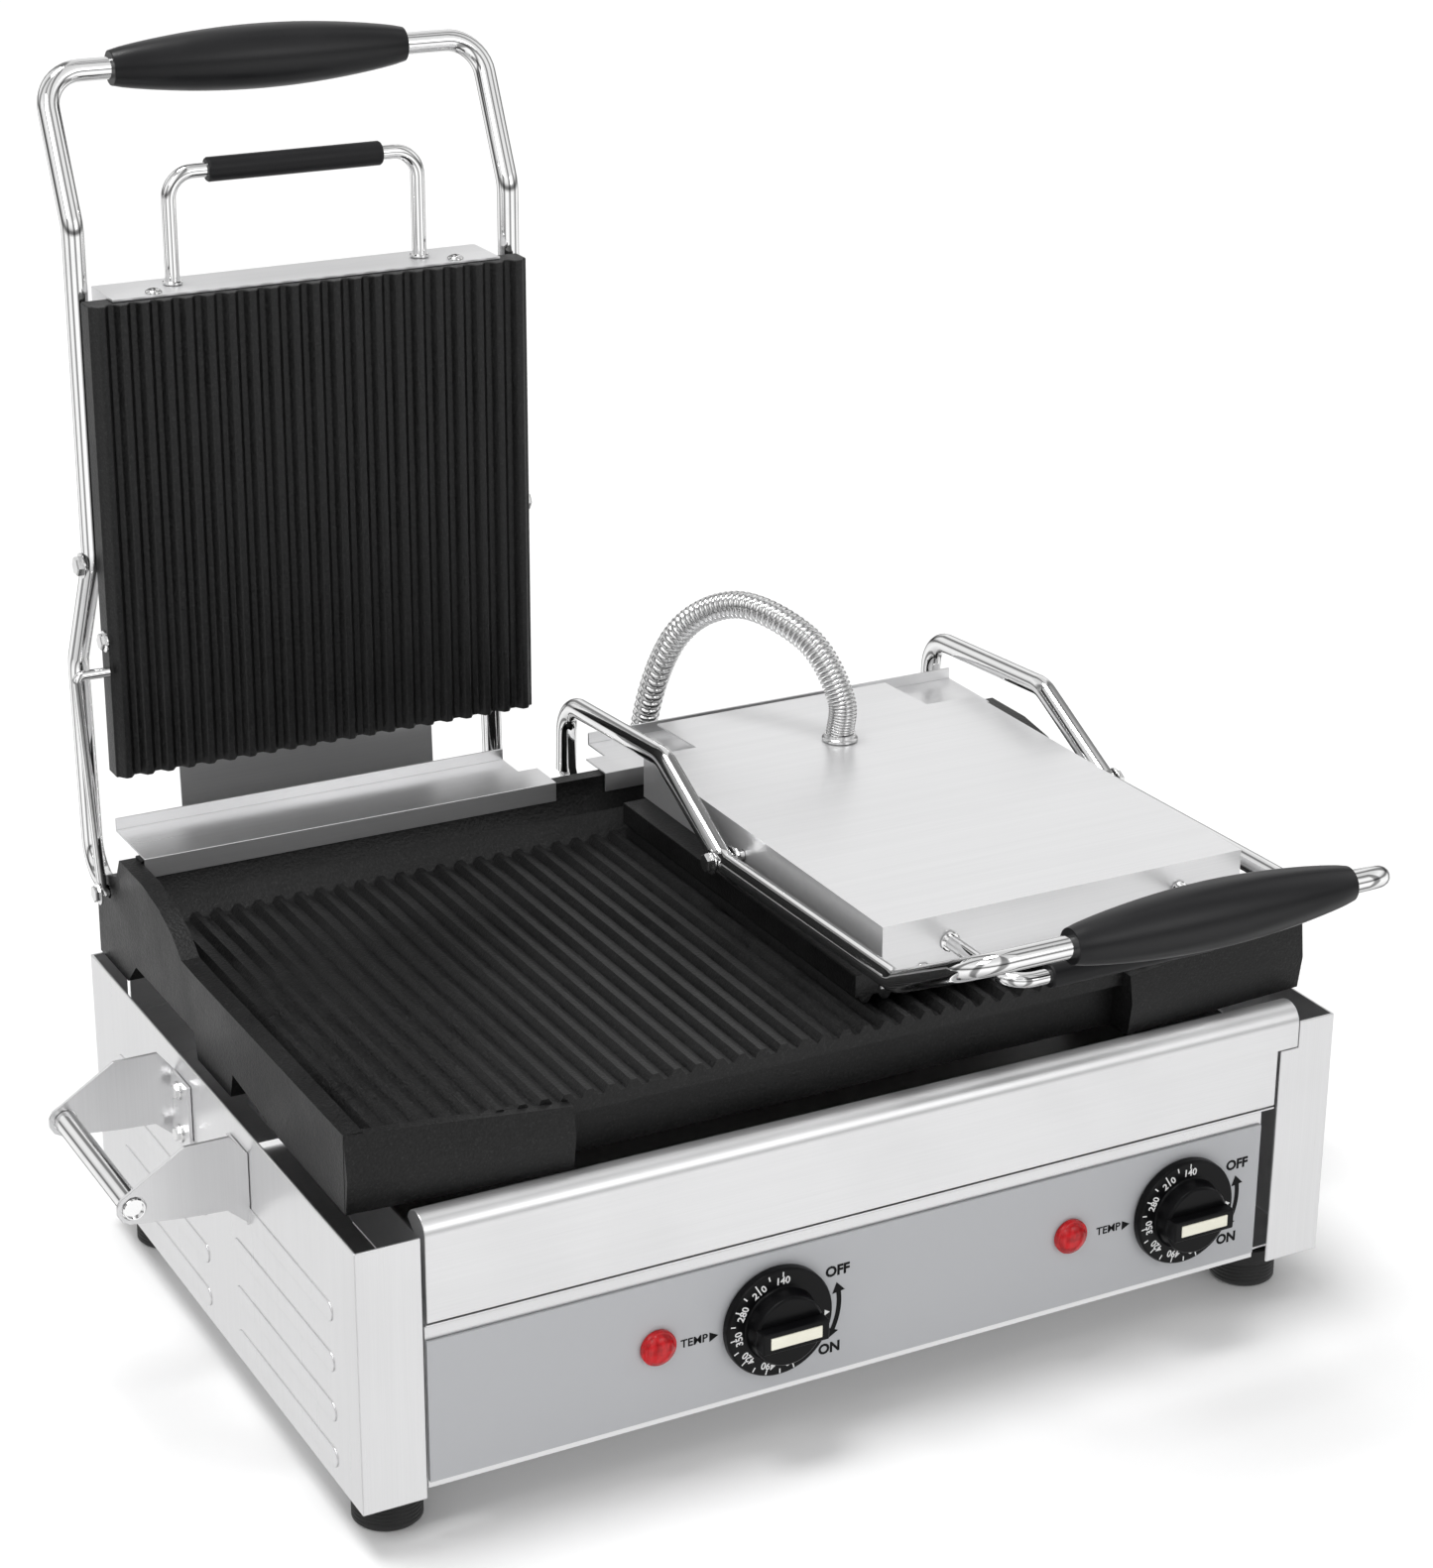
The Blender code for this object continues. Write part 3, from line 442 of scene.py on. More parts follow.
def arc(radius: float, start: float, end: float, steps: int, centre: Pair = (0.0, 0.0)) -> list[Pair]:
    """Points round part of a circle, from one angle in degrees to another."""
    angles = [math.radians(start + (end - start) * i / steps) for i in range(steps + 1)]
    return [(centre[0] + radius * math.cos(a), centre[1] + radius * math.sin(a)) for a in angles]


def long_hole(x: float, low: float, high: float, radius: float, steps: int) -> list[Pair]:
    """The outline of a slot with round ends.

    Args:
        x: the slot's middle.
        low: the level of its lower end's centre.
        high: the level of its upper end's centre.
        radius: the radius of its ends.
        steps: straight pieces in each end.

    Returns:
        The outline's corners.
    """
    return [*arc(radius, 0, 180, steps, (x, high)), *arc(radius, 180, 360, steps, (x, low))]


def smooth_path(points: Sequence[Sequence[float]], count: int) -> list[Vector]:
    """A Catmull-Rom curve through the points, read at even steps of its parameter.

    Args:
        points: what it passes through.
        count: how many steps it is read at.

    Returns:
        The curve's points.
    """
    points = [Vector(p) for p in points]
    ends = [2 * points[0] - points[1], *points, 2 * points[-1] - points[-2]]
    path = []
    for step in range(count + 1):
        at = step / count * (len(points) - 1)
        i = min(int(at), len(points) - 2)
        t = at - i
        a, b, c, d = ends[i : i + 4]
        bend = (2 * a - 5 * b + 4 * c - d) * t * t + (3 * b - a - 3 * c + d) * t**3
        path.append(0.5 * (2 * b + (c - a) * t + bend))
    return path


def facing(direction: Sequence[float], at: Sequence[float]) -> Matrix:
    """The placement that turns +Z to a direction and moves the origin to a point."""
    turn = Vector(direction).to_track_quat("Z", "Y").to_matrix().to_4x4()
    return Matrix.Translation(Vector(at)) @ turn


def mirrored(side: int, low: float, high: float) -> Pair:
    """An X range from low to high outwards on a side, in rising order."""
    first, second = sorted((side * low, side * high))
    return first, second


class Bench:
    """The modelling moves. Each returns one object at the origin, with its place in its mesh."""

    @staticmethod
    def clear() -> None:
        """Deselects everything."""
        bpy.ops.object.select_all(action="DESELECT")

    @staticmethod
    def pick(obj: Thing) -> Thing:
        """Makes the object the only one selected, and the active one."""
        Bench.clear()
        obj.select_set(True)
        bpy.context.view_layer.objects.active = obj
        return obj

    @staticmethod
    def started(name: str) -> Thing:
        """Names the primitive that was just added, and applies its place."""
        obj = Bench.pick(bpy.context.active_object)
        bpy.ops.object.transform_apply(location=True, rotation=True, scale=True)
        obj.name = name
        obj.data.name = name
        return obj

    @staticmethod
    def apply(obj: Thing, kind: str, **settings: Any) -> Thing:
        """Adds a modifier with its settings and applies it.

        Args:
            obj: the object.
            kind: the modifier's type.
            settings: the modifier's settings.

        Returns:
            The object.
        """
        Bench.pick(obj)
        step = obj.modifiers.new(kind.lower(), kind)
        for key, value in settings.items():
            setattr(step, key, value)
        bpy.ops.object.modifier_apply(modifier=step.name)
        return obj

    @staticmethod
    def soften(obj: Thing, width: float, segments: int = 2, angle: float = 30.0) -> Thing:
        """Rounds every edge sharper than the angle."""
        return Bench.apply(
            obj,
            "BEVEL",
            width=width,
            segments=segments,
            limit_method="ANGLE",
            angle_limit=math.radians(angle),
            use_clamp_overlap=True,
        )

    @staticmethod
    def set_edit(obj: Thing) -> None:
        """Enters edit mode on the object with all of it selected."""
        Bench.pick(obj)
        bpy.ops.object.mode_set(mode="EDIT")
        bpy.ops.mesh.select_all(action="SELECT")

    @staticmethod
    def end_edit(outwards: bool = True) -> None:
        """Leaves edit mode, with the faces turned outwards first."""
        if outwards:
            bpy.ops.mesh.select_all(action="SELECT")
            bpy.ops.mesh.normals_make_consistent(inside=False)
        bpy.ops.object.mode_set(mode="OBJECT")

    @staticmethod
    def turned(name: str, profile: Sequence[Pair], place: Matrix, sides: int = 48) -> Thing:
        """Turns a profile about an axis, as on a lathe, with flat ends.

        Args:
            name: the piece's name.
            profile: (radius, distance along the axis) pairs.
            place: where the axis stands, its +Z along it.
            sides: faces round the piece.

        Returns:
            The turned object.
        """
        Bench.clear()
        radius, along = profile[0]
        bpy.ops.mesh.primitive_circle_add(
            vertices=sides, radius=radius, fill_type="NGON", location=(0, 0, along)
        )
        obj = Bench.started(name)
        Bench.set_edit(obj)
        for next_radius, next_along in profile[1:]:
            step = (0, 0, next_along - along)
            bpy.ops.mesh.extrude_region_move(TRANSFORM_OT_translate={"value": step})
            factor = next_radius / radius
            bpy.ops.transform.resize(value=(factor, factor, 1), center_override=(0, 0, next_along))
            radius, along = next_radius, next_along
        Bench.end_edit()
        obj.data.transform(place)
        return obj

    @staticmethod
    def slab(name: str, low: Point, high: Point, edge: float = 0.0004, segments: int = 2) -> Thing:
        """A block between two corners, with rounded edges.

        Args:
            name: the piece's name.
            low: its lowest corner.
            high: its highest corner.
            edge: the radius of its edges, or 0.
            segments: faces round each edge.

        Returns:
            The block.
        """
        Bench.clear()
        centre = [(a + b) / 2 for a, b in zip(low, high)]
        size = [b - a for a, b in zip(low, high)]
        bpy.ops.mesh.primitive_cube_add(size=1, location=centre, scale=size)
        obj = Bench.started(name)
        return Bench.soften(obj, edge, segments) if edge else obj

    @staticmethod
    def cut_out(
        name: str, outline: Sequence[Pair], axis: str, low: float, high: float, edge: float = 0.0003
    ) -> Thing:
        """An outline extruded along an axis, with rounded edges.

        Args:
            name: the piece's name.
            outline: its corners in the other two axes, in X, Y, Z order.
            axis: X, Y or Z.
            low: where it starts along the axis.
            high: where it ends.
            edge: the radius of its edges, or 0.

        Returns:
            The extruded object.
        """
        Bench.clear()
        bpy.ops.mesh.primitive_circle_add(vertices=len(outline), radius=1.0, fill_type="NGON")
        obj = Bench.started(name)
        index = "XYZ".index(axis)
        for vertex, pair in zip(obj.data.vertices, outline):
            place = list(pair)
            place.insert(index, low)
            vertex.co = place
        Bench.set_edit(obj)
        step = [0.0, 0.0, 0.0]
        step[index] = high - low
        bpy.ops.mesh.extrude_region_move(TRANSFORM_OT_translate={"value": step})
        Bench.end_edit()
        return Bench.soften(obj, edge, 2) if edge else obj

    @staticmethod
    def tube(
        name: str, path: Sequence[Vector], radius: float, sides: int = 20, swell: Sequence[float] = ()
    ) -> Thing:
        """A round bar along a path, with flat ends.

        Args:
            name: the piece's name.
            path: the centreline's points.
            radius: the bar's radius.
            sides: faces round it, a multiple of 4.
            swell: a factor on the radius at each point, if it varies.

        Returns:
            The bar as a mesh.
        """
        Bench.clear()
        bpy.ops.curve.primitive_nurbs_path_add()
        obj = bpy.context.active_object
        obj.data.splines.clear()
        line = obj.data.splines.new("POLY")
        line.points.add(len(path) - 1)
        for i, (point, at) in enumerate(zip(line.points, path)):
            point.co = (*at, 1.0)
            point.radius = swell[i] if swell else 1.0
        obj.data.dimensions = "3D"
        obj.data.twist_mode = "MINIMUM"
        obj.data.bevel_depth = radius
        obj.data.bevel_resolution = sides // 4
        obj.data.use_fill_caps = True
        Bench.pick(obj)
        bpy.ops.object.convert(target="MESH")
        obj = Bench.started(name)
        Bench.set_edit(obj)
        bpy.ops.mesh.remove_doubles(threshold=1e-6)
        Bench.end_edit()
        return obj

    @staticmethod
    def lettering(name: str, words: str, size: float, place: Matrix, weight: float = 0.020) -> Thing:
        """Words or a number as thin raised print, centred on the placement.

        Args:
            name: the piece's name.
            words: what it says.
            size: the height of its line.
            place: where its middle stands, its +Z outwards.
            weight: how much wider its strokes are made, as a share of the size.

        Returns:
            The print.
        """
        depth = 0.00012
        Bench.clear()
        bpy.ops.object.text_add()
        obj = bpy.context.active_object
        obj.data.body = words
        obj.data.size = size
        obj.data.align_x = "CENTER"
        obj.data.align_y = "CENTER"
        obj.data.extrude = depth / 2
        obj.data.resolution_u = 3
        obj.data.offset = size * weight
        Bench.pick(obj)
        bpy.ops.object.convert(target="MESH")
        obj = Bench.started(name)
        obj.data.transform(place)
        return obj

    @staticmethod
    def refined(node: str, edge: float = 0.0004, segments: int = 2, angle: float = 30.0) -> Thing:
        """A copy of a CAD node with its flats merged and its edges rounded.

        Args:
            node: the CAD node.
            edge: the radius of its edges, or 0.
            segments: faces round each edge.
            angle: the angle in degrees above which edges are rounded.

        Returns:
            The copy.
        """
        Bench.pick(frame["nodes"][node])
        bpy.ops.object.duplicate()
        obj = bpy.context.active_object
        for key in list(obj.keys()):
            del obj[key]
        obj.parent = None
        obj.name = f"{node}_surface"
        obj.data = obj.data.copy()
        obj.data.name = obj.name
        obj.data.materials.clear()
        Bench.set_edit(obj)
        bpy.ops.mesh.remove_doubles(threshold=2e-6)
        bpy.ops.mesh.dissolve_limited(angle_limit=math.radians(0.5))
        Bench.end_edit(outwards=False)
        return Bench.soften(obj, edge, segments, angle) if edge else obj

    @staticmethod
    def carve(obj: Thing, cutters: Iterable[Thing]) -> Thing:
        """Cuts each cutter from the object, and removes the cutters."""
        for cutter in list(cutters):
            Bench.apply(obj, "BOOLEAN", operation="DIFFERENCE", object=cutter)
            bpy.data.objects.remove(cutter)
        return obj

    @staticmethod
    def joined(name: str, pieces: Sequence[Thing]) -> Thing:
        """Several objects as one.

        Args:
            name: the whole's name.
            pieces: the objects.

        Returns:
            The whole.
        """
        Bench.pick(pieces[0])
        for piece in pieces[1:]:
            piece.select_set(True)
        if len(pieces) > 1:
            bpy.ops.object.join()
        obj = bpy.context.active_object
        obj.name = name
        obj.data.name = name
        return obj


_materials: dict[str, bpy.types.Material] = {}


def material_of(finish: Any) -> bpy.types.Material:
    """The finish's material, mixed on first use."""
    if finish.name not in _materials:
        recipe = Recipe(finish.name)
        finish.mix(recipe)
        _materials[finish.name] = recipe.material
    return _materials[finish.name]


def surfaced(obj: Thing, finish: Any, smooth: float) -> None:
    """Gives a piece its finish, and shades it smooth under an angle in degrees.

    Args:
        obj: the piece.
        finish: one of the finishes.
        smooth: the angle.
    """
    obj.data.materials.clear()
    obj.data.materials.append(material_of(finish))
    Bench.pick(obj)
    bpy.ops.object.shade_smooth_by_angle(angle=math.radians(smooth))


def finished(
    obj: Thing,
    body: str,
    finish: Any,
    replaces: Sequence[str] = (),
    smooth: float = 32.0,
) -> None:
    """Dresses a piece in its finish and hangs it on its body.

    Args:
        obj: the piece, in place.
        body: the CAD body that it moves with.
        finish: one of the finishes.
        replaces: the CAD nodes that it stands for.
        smooth: the angle in degrees under which edges are shaded smooth.
    """
    surfaced(obj, finish, smooth)
    Bench.apply(obj, "WEIGHTED_NORMAL", weight=90, keep_sharp=True)
    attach(obj, body)
    if replaces:
        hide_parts(*replaces)
    log.info("%s rides on %s", obj.name, body)


def carried_over(
    node: str,
    body: str,
    finish: Any,
    edge: float,
    segments: int = 2,
    smooth: float = 32.0,
    angle: float = 30.0,
) -> None:
    """Dresses a refined copy of a CAD node, to stand for the node.

    Args:
        node: the CAD node.
        body: the body that it moves with.
        finish: one of the finishes.
        edge: the radius of its edges, or 0.
        segments: faces round each edge.
        smooth: the angle in degrees under which edges are shaded smooth.
        angle: the angle in degrees above which edges are rounded.
    """
    finished(Bench.refined(node, edge, segments, angle), body, finish, [node], smooth)


def hex_bolt(name: str, place: Matrix, radius: float, height: float) -> Thing:
    """A hexagonal head with a chamfered top on a round washer, its back at the placement's origin.

    Args:
        name: the piece's name.
        place: where it stands, its +Z outwards.
        radius: from its axis to a corner.
        height: from its back to its top.

    Returns:
        The head.
    """
    rim = [(radius * 1.3, 0), (radius * 1.3, 0.0007), (radius * 1.22, 0.0009)]
    washer = Bench.turned(f"{name}_washer", rim, Matrix.Identity(4), 32)
    flats = [(radius, 0.0008), (radius, height * 0.82), (radius * 0.88, height)]
    head = Bench.turned(name, flats, Matrix.Identity(4), 6)
    bolt = Bench.joined(name, [head, washer])
    bolt.data.transform(place)
    return bolt


def dome_screw(name: str, place: Matrix, radius: float = 0.0036, height: float = 0.0020) -> Thing:
    """A domed screw head with a cross recess, its back at the placement's origin.

    Args:
        name: the piece's name.
        place: where it stands, its +Z outwards.
        radius: the radius of its rim.
        height: from its back to its top.

    Returns:
        The head.
    """
    steps = 6
    profile = [(radius, 0.0), (radius, height * 0.15)]
    for i in range(1, steps + 1):
        a = math.pi / 2 * i / steps
        rise = height * (0.15 + 0.85 * math.sin(a))
        profile.append((max(radius * math.cos(a), radius * 0.06), rise))
    head = Bench.turned(name, profile, Matrix.Identity(4), 24)
    arm, wide, floor = radius * 0.55, radius * 0.13, height * 0.45
    cutters = [
        Bench.slab(f"{name}_slot_{i}", (-x, -y, floor), (x, y, height * 1.2), 0.00005)
        for i, (x, y) in enumerate(((arm, wide), (wide, arm)))
    ]
    Bench.carve(head, cutters)
    head.data.transform(place)
    return head


# ---- places read from the frame ----


SIDES = ((-1, "left"), (1, "right"))
PAST = 0.002  # how far a cutter passes beyond the sheet that it cuts


@dataclass
class Layout:
    """The frame's main places, read from the CAD nodes and joints."""

    front: float = field(default_factory=lambda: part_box("left_side_panel")[0].y)
    back: float = field(default_factory=lambda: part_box("left_side_panel")[1].y)
    half: float = field(default_factory=lambda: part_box("right_side_panel")[1].x)
    base: float = field(default_factory=lambda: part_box("left_side_panel")[0].z)

    @staticmethod
    def joint(name: str) -> Vector:
        """Where a joint's axis passes."""
        return Vector(next(j["pos_m"] for j in frame["joints"] if j["name"] == name))


LAYOUT = Layout()


# ---- housing ----


@dataclass
class Housing:
    """The folded steel housing: side panels with louvres, and the front, rear and bottom sheets."""

    louvre_rows: tuple[float, ...] = (0.0960, 0.0680, 0.0400, 0.0140)
    louvre_columns: tuple[Pair, ...] = ((0.030, 0.165), (0.205, 0.340))
    louvre_height: float = 0.0110
    louvre_root: float = 0.0010
    louvre_rise: float = 0.0006
    sheet_edge: float = 0.0006
    rear_vents: tuple[float, ...] = tuple(-0.064 + i * 0.016 for i in range(9))
    rear_vent_ends: Pair = (0.080, 0.112)
    rear_vent_radius: float = 0.0022
    screw_columns: tuple[float, ...] = (-0.250, -0.060, 0.060, 0.250)
    screw_rows: Pair = (0.012, 0.132)
    floor_vents: tuple[float, ...] = tuple(-0.176 + i * 0.032 for i in range(12))
    floor_vent_rows: Pair = (-0.060, 0.060)
    floor_vent_half: float = 0.020
    floor_vent_radius: float = 0.0025

    def build(self) -> None:
        """Builds and dresses every sheet."""
        for side, word in SIDES:
            carried_over(f"{word}_side_panel", "base", SHEET_Z, self.sheet_edge, 3)
            self.louvres(side, word)
        carried_over("front_panel", "base", SHEET_X, 0.0003)
        self.rear_panel()
        self.bottom_plate()

    def louvres(self, side: int, word: str) -> None:
        """Long pressed ridges with round ends, in two columns.

        Args:
            side: -1 for the left side, 1 for the right.
            word: the side's name.
        """
        pieces = []
        half = self.louvre_height / 2
        low, high = mirrored(side, LAYOUT.half - self.louvre_root, LAYOUT.half + self.louvre_rise)
        for row, level in enumerate(self.louvre_rows):
            for column, (near, far) in enumerate(self.louvre_columns):
                y0, y1 = LAYOUT.front + near + half, LAYOUT.front + far - half
                z = LAYOUT.base + level
                outline = [*arc(half, -90, 90, 8, (y1, z)), *arc(half, 90, 270, 8, (y0, z))]
                ridge = Bench.cut_out(f"{word}_louvre_{row}_{column}", outline, "X", low, high, 0)
                pieces.append(Bench.soften(ridge, self.louvre_rise * 0.9, 3, 60))
        finished(Bench.joined(f"{word}_louvres", pieces), "base", SHEET_Z, smooth=80)

    def rear_panel(self) -> None:
        """The rear sheet, with vent slots and screws."""
        panel = Bench.refined("rear_panel", 0.0)
        low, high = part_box("rear_panel")
        bottom, top = (LAYOUT.base + end for end in self.rear_vent_ends)
        cutters = []
        for i, x in enumerate(self.rear_vents):
            outline = long_hole(x, bottom, top, self.rear_vent_radius, 6)
            cutters.append(Bench.cut_out(f"vent_{i}", outline, "Y", low.y - PAST, high.y + PAST, 0))
        Bench.carve(panel, cutters)
        Bench.soften(panel, 0.0003, 1, 40)
        finished(panel, "base", SHEET_X, ["rear_panel"])
        screws = []
        for i, (x, z) in enumerate(product(self.screw_columns, self.screw_rows)):
            place = facing((0, 1, 0), (x, LAYOUT.back, LAYOUT.base + z))
            screws.append(dome_screw(f"rear_screw_{i}", place))
        finished(Bench.joined("rear_panel_screws", screws), "base", PLATED)

    def bottom_plate(self) -> None:
        """The bottom sheet, with two rows of vent slots."""
        plate = Bench.refined("bottom_plate", 0.0)
        low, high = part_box("bottom_plate")
        half, radius = self.floor_vent_half, self.floor_vent_radius
        cutters = []
        for (i, x), (j, y) in product(enumerate(self.floor_vents), enumerate(self.floor_vent_rows)):
            outline = long_hole(x, y - half, y + half, radius, 5)
            name = f"floor_vent_{i}_{j}"
            cutters.append(Bench.cut_out(name, outline, "Z", low.z - PAST, high.z + PAST, 0))
        Bench.carve(plate, [Bench.joined("floor_vents", cutters)])
        finished(plate, "base", SHEET_X, ["bottom_plate"])


@dataclass
class Foot:
    """A moulded foot: a flared top, a ribbed wall and a hollowed sole."""

    node: str
    ribs: int = 5
    first_rib: float = 0.0030
    rib_pitch: float = 0.0022
    rib_depth: float = 0.0004

    def build(self) -> None:
        """Builds and dresses the foot."""
        low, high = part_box(self.node)
        centre = (low + high) / 2
        radius = (high.x - low.x) / 2
        height = high.z - low.z
        wall = radius * 0.90
        groove = wall - self.rib_depth
        profile = [(radius * 0.55, 0.0010), (radius * 0.62, 0.0), (wall - 0.0012, 0.0), (wall, 0.0012)]
        for i in range(self.ribs):
            z = self.first_rib + i * self.rib_pitch
            profile += [(wall, z), (groove, z + 0.0006), (groove, z + 0.0010), (wall, z + 0.0016)]
        profile += [(wall, height - 0.0080), (radius - 0.0004, height - 0.0072)]
        profile += [(radius, height - 0.0064), (radius, height - 0.0008), (radius - 0.0008, height)]
        place = Matrix.Translation((centre.x, centre.y, low.z))
        foot = Bench.turned(self.node + "_moulding", profile, place, 56)
        finished(foot, "base", FOOT_BLACK, [self.node])


@dataclass
class CarryHandle:
    """A side handle: a tube between two bent brackets, each bolted to the housing twice."""

    side: int
    word: str
    bolt_levels: Pair = (0.1000, 0.1250)
    bolt_inset: float = 0.0140
    bracket_face: float = 0.0023

    def build(self) -> None:
        """Builds and dresses the tube, brackets and bolts."""
        low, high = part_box(f"{self.word}_handle_tube")
        centre, radius = (low + high) / 2, (high.z - low.z) / 2 * 1.015
        length = high.y - low.y
        mouth = [(radius * 0.80, 0.0016), (radius * 0.82, 0.0), (radius - 0.0005, 0.0), (radius, 0.0006)]
        profile = mouth + [(wide, length - depth) for wide, depth in reversed(mouth)]
        along = facing((0, 1, 0), (centre.x, low.y, centre.z))
        tube = Bench.turned(f"{self.word}_carry_tube", profile, along, 40)
        finished(tube, "base", CHROME, [f"{self.word}_handle_tube"])
        bolts = []
        for place in ("front", "rear"):
            node = f"{self.word}_handle_bracket_{place}"
            carried_over(node, "base", SHEET_Z, 0.0004)
            near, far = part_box(node)
            y = far.y - self.bolt_inset if place == "front" else near.y + self.bolt_inset
            for i, level in enumerate(self.bolt_levels):
                at = (self.side * (LAYOUT.half + self.bracket_face), y, LAYOUT.base + level)
                bolts.append(hex_bolt(f"{node}_bolt_{i}", facing((self.side, 0, 0), at), 0.0040, 0.0034))
        finished(Bench.joined(f"{self.word}_bracket_bolts", bolts), "base", PLATED)


# ---- controls ----


@dataclass
class Dial:
    """A thermostat dial: a black skirt with white figures, a raised bar and its ivory insert."""

    word: str
    figures: tuple[str, ...] = ("140", "210", "280", "350", "420", "490", "560")
    first_angle: float = 88.0
    step_angle: float = 33.0
    figure_size: float = 0.0056
    figure_ring: float = 0.0240
    tick_ring: Pair = (0.0264, 0.0291)
    tick_half: float = 0.00035
    pointer_ring: float = 0.0268
    pointer_angle: float = -2.0
    print_level: float = 0.00586
    print_depth: float = 0.0001

    def __post_init__(self) -> None:
        """Reads the dial's place from its CAD node."""
        low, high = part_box(f"{self.word}_dial")
        self.x, self.z = (low.x + high.x) / 2, (low.z + high.z) / 2
        self.radius, self.back = (high.x - low.x) / 2, high.y

    def build(self) -> None:
        """Builds and dresses the dial, its insert and its print."""
        body = f"{self.word}_dial_knob"
        rim = self.radius
        skirt = [(rim - 0.0006, 0), (rim, 0.0008), (rim, 0.0042), (rim - 0.0003, 0.0050)]
        skirt += [(rim - 0.0008, 0.0056), (rim - 0.0016, 0.0058), (0.0208, 0.0058), (0.0204, 0.0062)]
        skirt += [(0.0200, 0.0074), (0.0194, 0.0146), (0.0190, 0.0154), (0.0182, 0.0160), (0.0060, 0.0162)]
        place = facing((0, -1, 0), (self.x, self.back, self.z))
        knob = Bench.turned(f"{self.word}_dial_skirt", skirt, place, 96)
        bar = self.block(f"{self.word}_dial_bar", (0.0190, 0.0058), (0.0140, 0.0225), 0.0009, 3)
        Bench.carve(bar, [self.block("pocket", (0.0150, 0.0036), (0.0213, 0.0240), 0.0002, 2)])
        dial = Bench.joined(f"{self.word}_dial_body", [knob, bar])
        finished(dial, body, DIAL_BLACK, [f"{self.word}_dial"])
        low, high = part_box(f"{self.word}_dial_insert")
        insert = Bench.slab(f"{self.word}_dial_bar_insert", tuple(low), tuple(high), 0.00035, 3)
        finished(insert, body, IVORY, [f"{self.word}_dial_insert"])
        finished(self.print(), body, WHITE_INK)

    def block(self, name: str, half: Pair, levels: Pair, edge: float, segments: int) -> Thing:
        """A block over the dial's centre.

        Args:
            name: the piece's name.
            half: half its width and half its height.
            levels: where its back and its front are, from the dial's back.
            edge: the radius of its edges.
            segments: faces round each edge.

        Returns:
            The block.
        """
        low = (self.x - half[0], self.back - levels[1], self.z - half[1])
        high = (self.x + half[0], self.back - levels[0], self.z + half[1])
        return Bench.slab(name, low, high, edge, segments)

    def print(self) -> Thing:
        """The figures, ticks and pointer on the skirt's face."""
        inner, outer = self.tick_ring
        wide, long = self.tick_half, (outer - inner) / 2
        pieces = []
        for i, figure in enumerate(self.figures):
            angle = self.first_angle + i * self.step_angle
            number = Bench.lettering(f"figure_{figure}", figure, self.figure_size, Matrix.Identity(4))
            pieces.append(self.mark(number, angle, self.figure_ring))
            last = i == len(self.figures) - 1
            for shift in (0.0,) if last else (0.0, self.step_angle / 2):
                low, high = (-wide, -long, 0), (wide, long, self.print_depth)
                tick = Bench.slab("tick", low, high, 0.00002, 1)
                pieces.append(self.mark(tick, angle + shift, (inner + outer) / 2))
        corners = [(-0.0017, -0.0014), (0.0017, -0.0014), (0.0, 0.0016)]
        pointer = Bench.cut_out("pointer", corners, "Z", 0, self.print_depth, 0)
        pieces.append(self.mark(pointer, self.pointer_angle, self.pointer_ring))
        return Bench.joined(f"{self.word}_dial_print", pieces)

    def mark(self, obj: Thing, angle: float, ring: float) -> Thing:
        """Sets a flat mark at an angle on the dial's face, its top outwards.

        Args:
            obj: the mark, shaped about the origin.
            angle: its angle in degrees.
            ring: how far it is from the dial's centre.

        Returns:
            The mark.
        """
        face = Matrix.Translation((self.x, self.back - self.print_level, self.z))
        upright = Matrix.Rotation(math.radians(90), 4, "X")
        turn = Matrix.Rotation(math.radians(angle - 90), 4, "Z")
        obj.data.transform(face @ upright @ turn @ Matrix.Translation((0, ring, 0)))
        return obj


